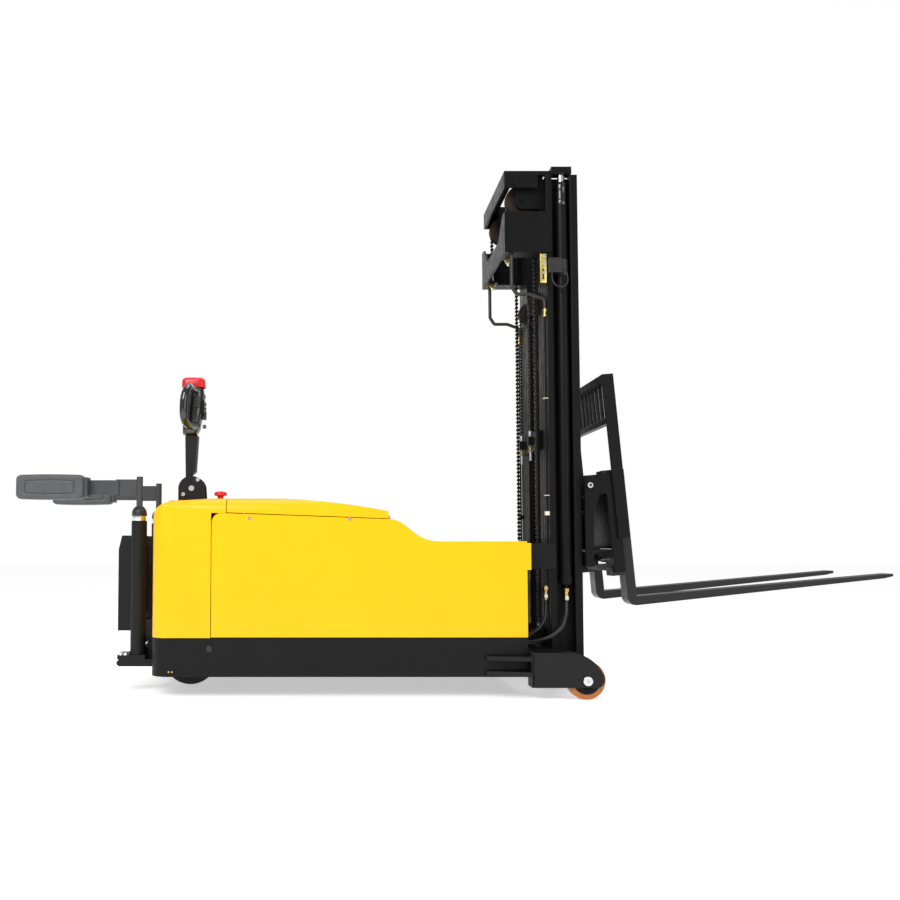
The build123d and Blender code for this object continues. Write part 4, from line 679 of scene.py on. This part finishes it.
# ---- Fork frame: the leaning plate between its bars, and the tilt pin's caps -----------------------------
web = bmesh.new()
WEB_HALF, WEB_T = 0.298, 0.006
WEB_BOTTOM, WEB_TOP = (0.731, 0.625), (0.709, 0.875)
for web_x, web_z in (WEB_BOTTOM, WEB_TOP):
    for deep, y in ((0, -WEB_HALF), (0, WEB_HALF), (WEB_T, WEB_HALF), (WEB_T, -WEB_HALF)):
        web.verts.new((web_x + deep, y, web_z))
web.verts.ensure_lookup_table()
for corners in ((0, 1, 2, 3), (7, 6, 5, 4), (0, 4, 5, 1), (1, 5, 6, 2), (2, 6, 7, 3), (3, 7, 4, 0)):
    web.faces.new([web.verts[corner] for corner in corners])
bmesh.ops.bevel(web, geom=list(web.edges), offset=0.0012, segments=2, profile=0.5, affect="EDGES")
finished("fork_frame_web", web, "fork_frame", "frame_grey", "mast_grey", 40)
TILT_PIN_X, TILT_PIN_Z, CAP_SEAT = 0.589, 0.902, 0.009
tilt_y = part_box("carriage")[1].y - CAP_SEAT
for side_name, side in SIDES.items():
    turned(
        f"{side_name}_tilt_pin_cap",
        [(0.0115, 0), (0.0122, 0.001), (0.0122, 0.0100), (0.0105, 0.0112), (0.0055, 0.0112), (0.0048, 0.008)],
        (TILT_PIN_X, side * tilt_y, TILT_PIN_Z), (0, side, 0), "carriage", "machined_steel",
    )

# ---- Stop button: a mushroom cap on its collar -----------------------------------------------------------
stop_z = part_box("stop_button")[0].z
stop_middle = centre("stop_button")
stop_cap = turned(
    "stop_mushroom",
    [(0.0154, 0), (0.0154, 0.040), (0.0140, 0.046), (0.0135, 0.058), (0.0160, 0.0615), (0.0262, 0.0635),
     (0.0288, 0.0655), (0.0288, 0.0735), (0.0265, 0.0785), (0.020, 0.0820), (0.010, 0.0838), (0.003, 0.084)],
    (stop_middle.x, stop_middle.y, stop_z), UP, "stop_button", "red_plastic",
)
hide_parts("stop_button")
collar_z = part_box("rear_cover")[1].z + 0.0001
turned(
    "stop_collar",
    [(0.0162, 0), (0.0215, 0), (0.0220, 0.001), (0.0215, 0.0028), (0.0162, 0.0035)],
    (stop_middle.x, stop_middle.y, collar_z), UP, "chassis", "black_plastic", "fitting_grey",
)

# ---- Tiller head: shell, hand loops, panel and buttons ---------------------------------------------------
head_low, head_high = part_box("tiller_head")
head_middle = centre("tiller_head")
HEAD_RINGS = (
    # level above the neck, half depth, half width, forward shift
    (0.0, 0.033, 0.036, -0.0175),
    (0.010, 0.0375, 0.042, -0.0140),
    (0.035, 0.0410, 0.047, -0.0105),
    (0.075, 0.0450, 0.0505, -0.0065),
    (0.12, 0.0495, 0.052, -0.0020),
    (0.17, 0.0515, 0.052, 0.0),
    (0.205, 0.0515, 0.0515, 0.0),
    (0.218, 0.0510, 0.0505, 0.0),
    (0.2215, 0.0490, 0.0480, 0.0),
    (0.2225, 0.0450, 0.0300, 0.0),
    (0.2245, 0.0440, 0.0290, 0.0),
    (0.2360, 0.0440, 0.0290, 0.0),
)


def head_shell():
    """The moulded head: rounded sections that widen from the neck to the controls."""
    made = bmesh.new()
    skin(made, [
        squared_ring(made, (head_middle.x + shift, 0, head_low.z + level), half_x, half_y, 0.7, 32)
        for level, half_x, half_y, shift in HEAD_RINGS
    ])
    shell = finished("head_shell", made, "tiller", "black_plastic", "gloss_black", 40)
    rounded = shell.modifiers.new("soften", "SUBSURF")
    rounded.levels = rounded.render_levels = 1
    apply_modifiers(shell)
    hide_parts("tiller_head")


head_shell()
loop_low, loop_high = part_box("tiller_handle")
LOOP_R = 0.0185
for side_name, side in SIDES.items():
    grip_y = loop_high.y - LOOP_R
    rear_x = loop_low.x + LOOP_R - 0.004
    loop = tube(
        f"{side_name}_hand_loop",
        [
            (head_middle.x + 0.010, side * 0.046, loop_low.z + 0.012),
            (head_middle.x - 0.008, side * 0.085, loop_low.z + 0.008),
            (rear_x + 0.004, side * 0.128, loop_low.z + 0.014),
            (rear_x, side * (grip_y - 0.004), loop_low.z + 0.045),
            (rear_x, side * grip_y, loop_low.z + 0.095),
            (rear_x + 0.004, side * grip_y, loop_high.z - 0.062),
            (rear_x + 0.018, side * 0.138, loop_high.z - 0.020),
            (head_middle.x - 0.004, side * 0.090, loop_high.z - 0.016),
            (head_middle.x + 0.012, side * 0.046, loop_high.z - 0.022),
        ],
        LOOP_R, "tiller", "gloss_black", None, 4, 14,
    )
    if side < 0:
        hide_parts("tiller_handle")
slab("head_control_panel", (head_high.x - 0.016, -0.032, head_low.z + 0.098),
     (head_high.x - 0.0008, 0.032, head_low.z + 0.168), "tiller", "black_plastic", "frame_grey", 0.003)
slab("head_charge_window", (head_high.x - 0.010, -0.022, head_low.z + 0.178),
     (head_high.x + 0.0008, 0.022, head_low.z + 0.198), "tiller", "black_plastic", "fitting_grey", 0.003)
for side_name, side in SIDES.items():
    for row, level in enumerate((0.112, 0.133, 0.154)):
        turned(
            f"{side_name}_panel_button_{row}",
            [(0.0062, 0), (0.0065, 0.001), (0.0065, 0.003), (0.005, 0.0042)],
            (head_high.x - 0.0008, side * 0.025, head_low.z + level), (1, 0, 0), "tiller", "black_plastic",
            "fitting_grey", 24,
        )
cap_low, cap_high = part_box("reverse_button")
CAP_DROP = 0.0135
CAP_RINGS = (
    # level above the cap's edge, share of the half size: down the inside, then up the outside
    (0.018, 0.90), (0.0, 0.90), (0.0, 0.985), (0.004, 1.0), (0.028, 1.0), (0.036, 0.965), (0.042, 0.90),
    (0.0462, 0.76), (0.0482, 0.5),
)


def reverse_cap():
    """The red top of the head: a hollow cap that slides down over the collar of the head."""
    middle, half = (cap_low + cap_high) / 2, (cap_high - cap_low) / 2
    edge_z = cap_low.z - CAP_DROP
    made = bmesh.new()
    skin(made, [
        squared_ring(made, (middle.x, middle.y, edge_z + level), half.x * share, half.y * share, 0.5, 48)
        for level, share in CAP_RINGS
    ])
    return finished("reverse_cap", made, "reverse_button", "red_plastic", None, 40)


cap = reverse_cap()
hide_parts("reverse_button")

# ---- Hydraulic fittings, hoses and the limit switch ------------------------------------------------------
cyl_low, cyl_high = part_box("lift_cylinders")
cyl_x = (cyl_low.x + cyl_high.x) / 2
cyl_y = cyl_high.y - (cyl_high.x - cyl_low.x) / 2
pipe_low, pipe_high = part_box("hydraulic_pipes")
pipe_x = (pipe_low.x + pipe_high.x) / 2
pipe_y = pipe_high.y - 0.008
LOWER_FIT_Z, CLIP_Z, CLIP_HALF = 0.46, (0.772, 0.790), 0.011
# The hose under the fitting: how far back it has come, and its level.
LOWER_HOSE = ((0, 0.40), (0, 0.36), (0.006, 0.31), (0.045, 0.262), (0.105, 0.238))
for side_name, side in SIDES.items():
    port = Vector((cyl_x, side * cyl_y, cyl_low.z))
    hexagon(
        f"{side_name}_port_nut_upper", port, DOWN, 0.027, 0.016, "chassis", "machined_steel", "brass",
        False,
    )
    turned(f"{side_name}_port_sleeve", [(0.0105, 0), (0.0112, 0.001), (0.0112, 0.02), (0.0105, 0.022)],
           port + Vector((0, 0, -0.014)), DOWN, "chassis", "machined_steel", "brass", 24)
    hexagon(f"{side_name}_port_nut_lower", port + Vector((0, 0, -0.034)), DOWN, 0.025, 0.018, "chassis",
            "machined_steel", "zinc", False)
    turned(f"{side_name}_cylinder_base_collar",
           [(0.0268, 0), (0.0295, 0.001), (0.0295, 0.03), (0.0268, 0.031)],
           (cyl_x, side * cyl_y, cyl_low.z + 0.02), UP, "chassis", "mast_grey")
    turned(f"{side_name}_cylinder_gland",
           [(0.0256, 0), (0.0262, 0.001), (0.0262, 0.02), (0.0256, 0.022), (0.0256, 0.07), (0.0262, 0.072),
            (0.0262, 0.1), (0.0245, 0.103), (0.0182, 0.104)],
           (cyl_x, side * cyl_y, cyl_high.z - 0.104), UP, "chassis", "mast_grey", "gloss_black")
    turned(f"{side_name}_pipe_fitting", [(0.0082, 0), (0.0095, 0.001), (0.0095, 0.012), (0.0082, 0.014),
                                         (0.0082, 0.02), (0.0098, 0.021), (0.0098, 0.034), (0.0082, 0.035)],
           (pipe_x, side * pipe_y, pipe_high.z - 0.034), UP, "chassis", "machined_steel", "brass", 24)
    slab(
        f"{side_name}_pipe_clip", (pipe_x - CLIP_HALF, side * pipe_y - CLIP_HALF, CLIP_Z[0]),
        (pipe_x + CLIP_HALF, side * pipe_y + CLIP_HALF, CLIP_Z[1]), "chassis", "machined_steel",
        "cream_plastic", 0.002,
    )
    fit_x, fit_y = pipe_x - 0.012, side * (pipe_y - 0.004)
    for part_no, (drop, flats, look) in enumerate(((0.0, 0.026, "brass"), (0.034, 0.024, "zinc"))):
        hexagon(f"{side_name}_lower_fitting_{part_no}", (fit_x, fit_y, LOWER_FIT_Z - drop), DOWN,
                flats, 0.016, "chassis", "machined_steel", look, False)
    turned(f"{side_name}_lower_fitting_tail", [(0.0105, 0), (0.0105, 0.06), (0.0085, 0.062)],
           (fit_x, fit_y, LOWER_FIT_Z + 0.004), DOWN, "chassis", "machined_steel", "brass", 20)
    tube(f"{side_name}_lower_hose",
         [(fit_x - back, fit_y, level) for back, level in LOWER_HOSE],
         0.0078, "chassis", "hose_rubber")
switch_low, switch_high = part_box("limit_switch")
STRIKER_Z = (1.80, 1.93)
SLOT_Z = (1.815, 1.862)
STRIKER_BOLTS = (1.846, 1.886, 1.92)
CABLE_TIES = (0.86, 1.29)
BAND_Z = 1.842
TIE_R = 0.014
slab(
    "switch_striker_plate", (switch_low.x - 0.030, switch_low.y + 0.004, STRIKER_Z[0]),
    (switch_low.x - 0.002, switch_low.y + 0.0075, STRIKER_Z[1]), "chassis", "machined_steel", "zinc_yellow",
    0.001,
)
slab("switch_striker_slot", (switch_low.x - 0.020, switch_low.y + 0.0036, SLOT_Z[0]),
     (switch_low.x - 0.012, switch_low.y + 0.0042, SLOT_Z[1]), "chassis", "black_plastic", None, 0.0002, 1)
for row, level in enumerate(STRIKER_BOLTS):
    hexagon(
        f"striker_bolt_{row}", (switch_low.x - 0.012, switch_low.y + 0.004, level), (0, -1, 0), 0.010,
        0.005, "chassis",
    )
# The cable's points, from the front of the switch, its outer face and its underside.
SWITCH_CABLE = (
    (-0.045, 0.006, 0.055), (-0.05, -0.002, 0.01), (-0.02, -0.006, -0.02),
    (0.015, -0.004, -0.012), (0.028, 0.004, 0.03), (0.012, 0.012, 0.07),
)
tube("switch_cable",
     [(switch_high.x + x, switch_low.y + y, switch_low.z + z) for x, y, z in SWITCH_CABLE],
     0.0032, "chassis", "hose_rubber")
turned("cylinder_cable_band", [(0.0268, 0), (0.0278, 0.0005), (0.0278, 0.07), (0.0268, 0.0705)],
       (cyl_x, -cyl_y, BAND_Z), UP, "chassis", "hose_rubber")
for row, level in enumerate(CABLE_TIES):
    turn = around(12) + [2 * math.pi]
    tube(f"cable_tie_{row}",
         [(pipe_x + TIE_R * math.cos(a), -pipe_y + TIE_R * math.sin(a), level) for a in turn],
         0.0016, "chassis", "hose_rubber", "cream_plastic")

# ---- Rear knee pad, skirt plug, welds and lower screws ---------------------------------------------------
skirt_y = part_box("chassis_frame")[1].y


def knee_pad():
    """A rubber panel that stands off the rear cover and follows its curve, as two skins on one surface."""
    columns, half, bulge, stand_off = 24, 0.17, 4.286, 0.0054
    rear_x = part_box("rear_cover")[0].x - stand_off
    made = bmesh.new()
    grid = []
    for level in (0.345, 0.70):
        places = [-half + 2 * half * column / columns for column in range(columns + 1)]
        grid.append([made.verts.new((rear_x + y * y / (2 * bulge), y, level)) for y in places])
    for column in range(columns):
        made.faces.new((grid[0][column], grid[0][column + 1], grid[1][column + 1], grid[1][column]))
    bmesh.ops.solidify(made, geom=list(made.faces), thickness=0)
    pad = finished("rear_knee_pad", made, "chassis", "mat_rubber", None, 30)
    rounding = pad.modifiers.new("rounding", "BEVEL")
    rounding.width = 0.0015
    rounding.segments = 2
    apply_modifiers(pad)


knee_pad()
PLUG_X, PLUG_Z = -1.052, 0.205
SCREWS_X, SCREW_Z = (-1.222, -1.208), 0.108
BRACKET_OUT = 0.07
TOE_WELD_X, TOE_WELD_Z = 0.302, (0.056, 0.19)
TOP_WELD_X, TOP_WELD_Z, TOP_WELD_IN = (0.305, 0.44), 0.196, 0.06
GUSSETS_Z, SEAM_RISE, SEAM_X = (0.096, 0.158), 0.0195, (0.14, 0.286)
box_low, box_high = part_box("chain_anchor_bracket")
for side_name, side in SIDES.items():
    turned(f"{side_name}_skirt_plug", [(0.011, 0), (0.0125, 0.0012), (0.0125, 0.003), (0.0095, 0.0045)],
           (PLUG_X, side * skirt_y, PLUG_Z), (0, side, 0), "chassis", "black_plastic")
    for row, screw_x in enumerate(SCREWS_X):
        turned(f"{side_name}_skirt_screw_{row}", [(0.0035, 0), (0.004, 0.0005), (0.0035, 0.002)],
               (screw_x, side * (skirt_y - 0.0005), SCREW_Z), (0, side, 0), "chassis", "machined_steel",
               "brass", 20)
    outer = side * (skirt_y + BRACKET_OUT)
    weld(
        f"{side_name}_bracket_weld", *((TOE_WELD_X, outer, level) for level in TOE_WELD_Z), 0.0028,
        "chassis",
    )
    top_y = outer - side * TOP_WELD_IN
    weld(f"{side_name}_bracket_top_weld", *((x, top_y, TOP_WELD_Z) for x in TOP_WELD_X), 0.0028, "chassis")
    box_x, box_y = box_low.x + 0.0105, side * (box_high.y + 0.0006)
    weld(
        f"{side_name}_anchor_box_weld", (box_x, box_y, box_low.z + 0.004),
        (box_x, box_y, box_high.z - 0.004), 0.0024, "chassis",
    )
    for row, gusset_z in enumerate(GUSSETS_Z):
        seam_y, seam_z = side * (skirt_y + 0.0015), gusset_z + SEAM_RISE
        weld(f"{side_name}_gusset_weld_{row}", *((x, seam_y, seam_z) for x in SEAM_X), 0.0026, "chassis")

# ---- Camera, floor and lights ----------------------------------------------------------------------------
EYE = (-0.542, -4.7, 0.642)
EYE_TILT = 93.4
FOCAL, SENSOR = 40, 36
SHIFT_X, SHIFT_Y = 0.1333, 0.0396
camera = linked("camera", bpy.data.cameras.new("camera"))
camera.location = EYE
camera.rotation_euler = (math.radians(EYE_TILT), 0, 0)
camera.data.lens = FOCAL
camera.data.sensor_width = SENSOR
camera.data.shift_x = SHIFT_X
camera.data.shift_y = SHIFT_Y
camera.data.clip_end = 200
bpy.context.scene.camera = camera


def area_light(name, place, target, size, power):
    """A square soft box aimed at a point."""
    made = linked(name, bpy.data.lights.new(name, "AREA"))
    made.location = place
    made.rotation_euler = (Vector(target) - Vector(place)).to_track_quat("-Z", "Y").to_euler()
    made.data.size = size
    made.data.energy = power


area_light("key_light", (-3.0, -5.0, 4.2), (-0.3, 0, 0.7), 3.0, 250)
area_light("fill_light", (3.6, -4.6, 2.2), (0.4, 0, 0.8), 2.6, 60)
area_light("top_light", (0.0, 0.3, 5.4), (0, 0, 0.6), 3.6, 120)
area_light("back_light", (0.5, 5.2, 3.6), (0, 0, 0.9), 3.0, 40)

FLOOR_HALF, FLOOR_Z = 30.0, -0.001
floor_mesh = bpy.data.meshes.new("floor")
floor_mesh.from_pydata(
    [(x * FLOOR_HALF, y * FLOOR_HALF, FLOOR_Z) for x, y in ((-1, -1), (1, -1), (1, 1), (-1, 1))],
    [],
    [(0, 1, 2, 3)],
)
floor = linked("floor", floor_mesh)
floor_look = bpy.data.materials.new("floor_look")
floor_look.use_nodes = True
floor_sockets = floor_look.node_tree.nodes["Principled BSDF"].inputs
floor_sockets["Base Color"].default_value = (0.93, 0.93, 0.93, 1)
floor_sockets["Roughness"].default_value = 0.8
floor_sockets["Emission Color"].default_value = (1, 1, 1, 1)
floor_sockets["Emission Strength"].default_value = 0.5
floor.data.materials.append(floor_look)

world = bpy.data.worlds.new("studio")
bpy.context.scene.world = world
world.use_nodes = True
backdrop = world.node_tree.nodes["Background"]
backdrop.inputs["Color"].default_value = (1, 1, 1, 1)
AMBIENT, SHOWN = 0.5, 1.0
ray = world.node_tree.nodes.new("ShaderNodeLightPath")
strength = world.node_tree.nodes.new("ShaderNodeMapRange")
strength.inputs["To Min"].default_value = AMBIENT
strength.inputs["To Max"].default_value = SHOWN
world.node_tree.links.new(ray.outputs["Is Camera Ray"], strength.inputs["Value"])
world.node_tree.links.new(strength.outputs["Result"], backdrop.inputs["Strength"])
bpy.context.scene.view_settings.view_transform = "Standard"
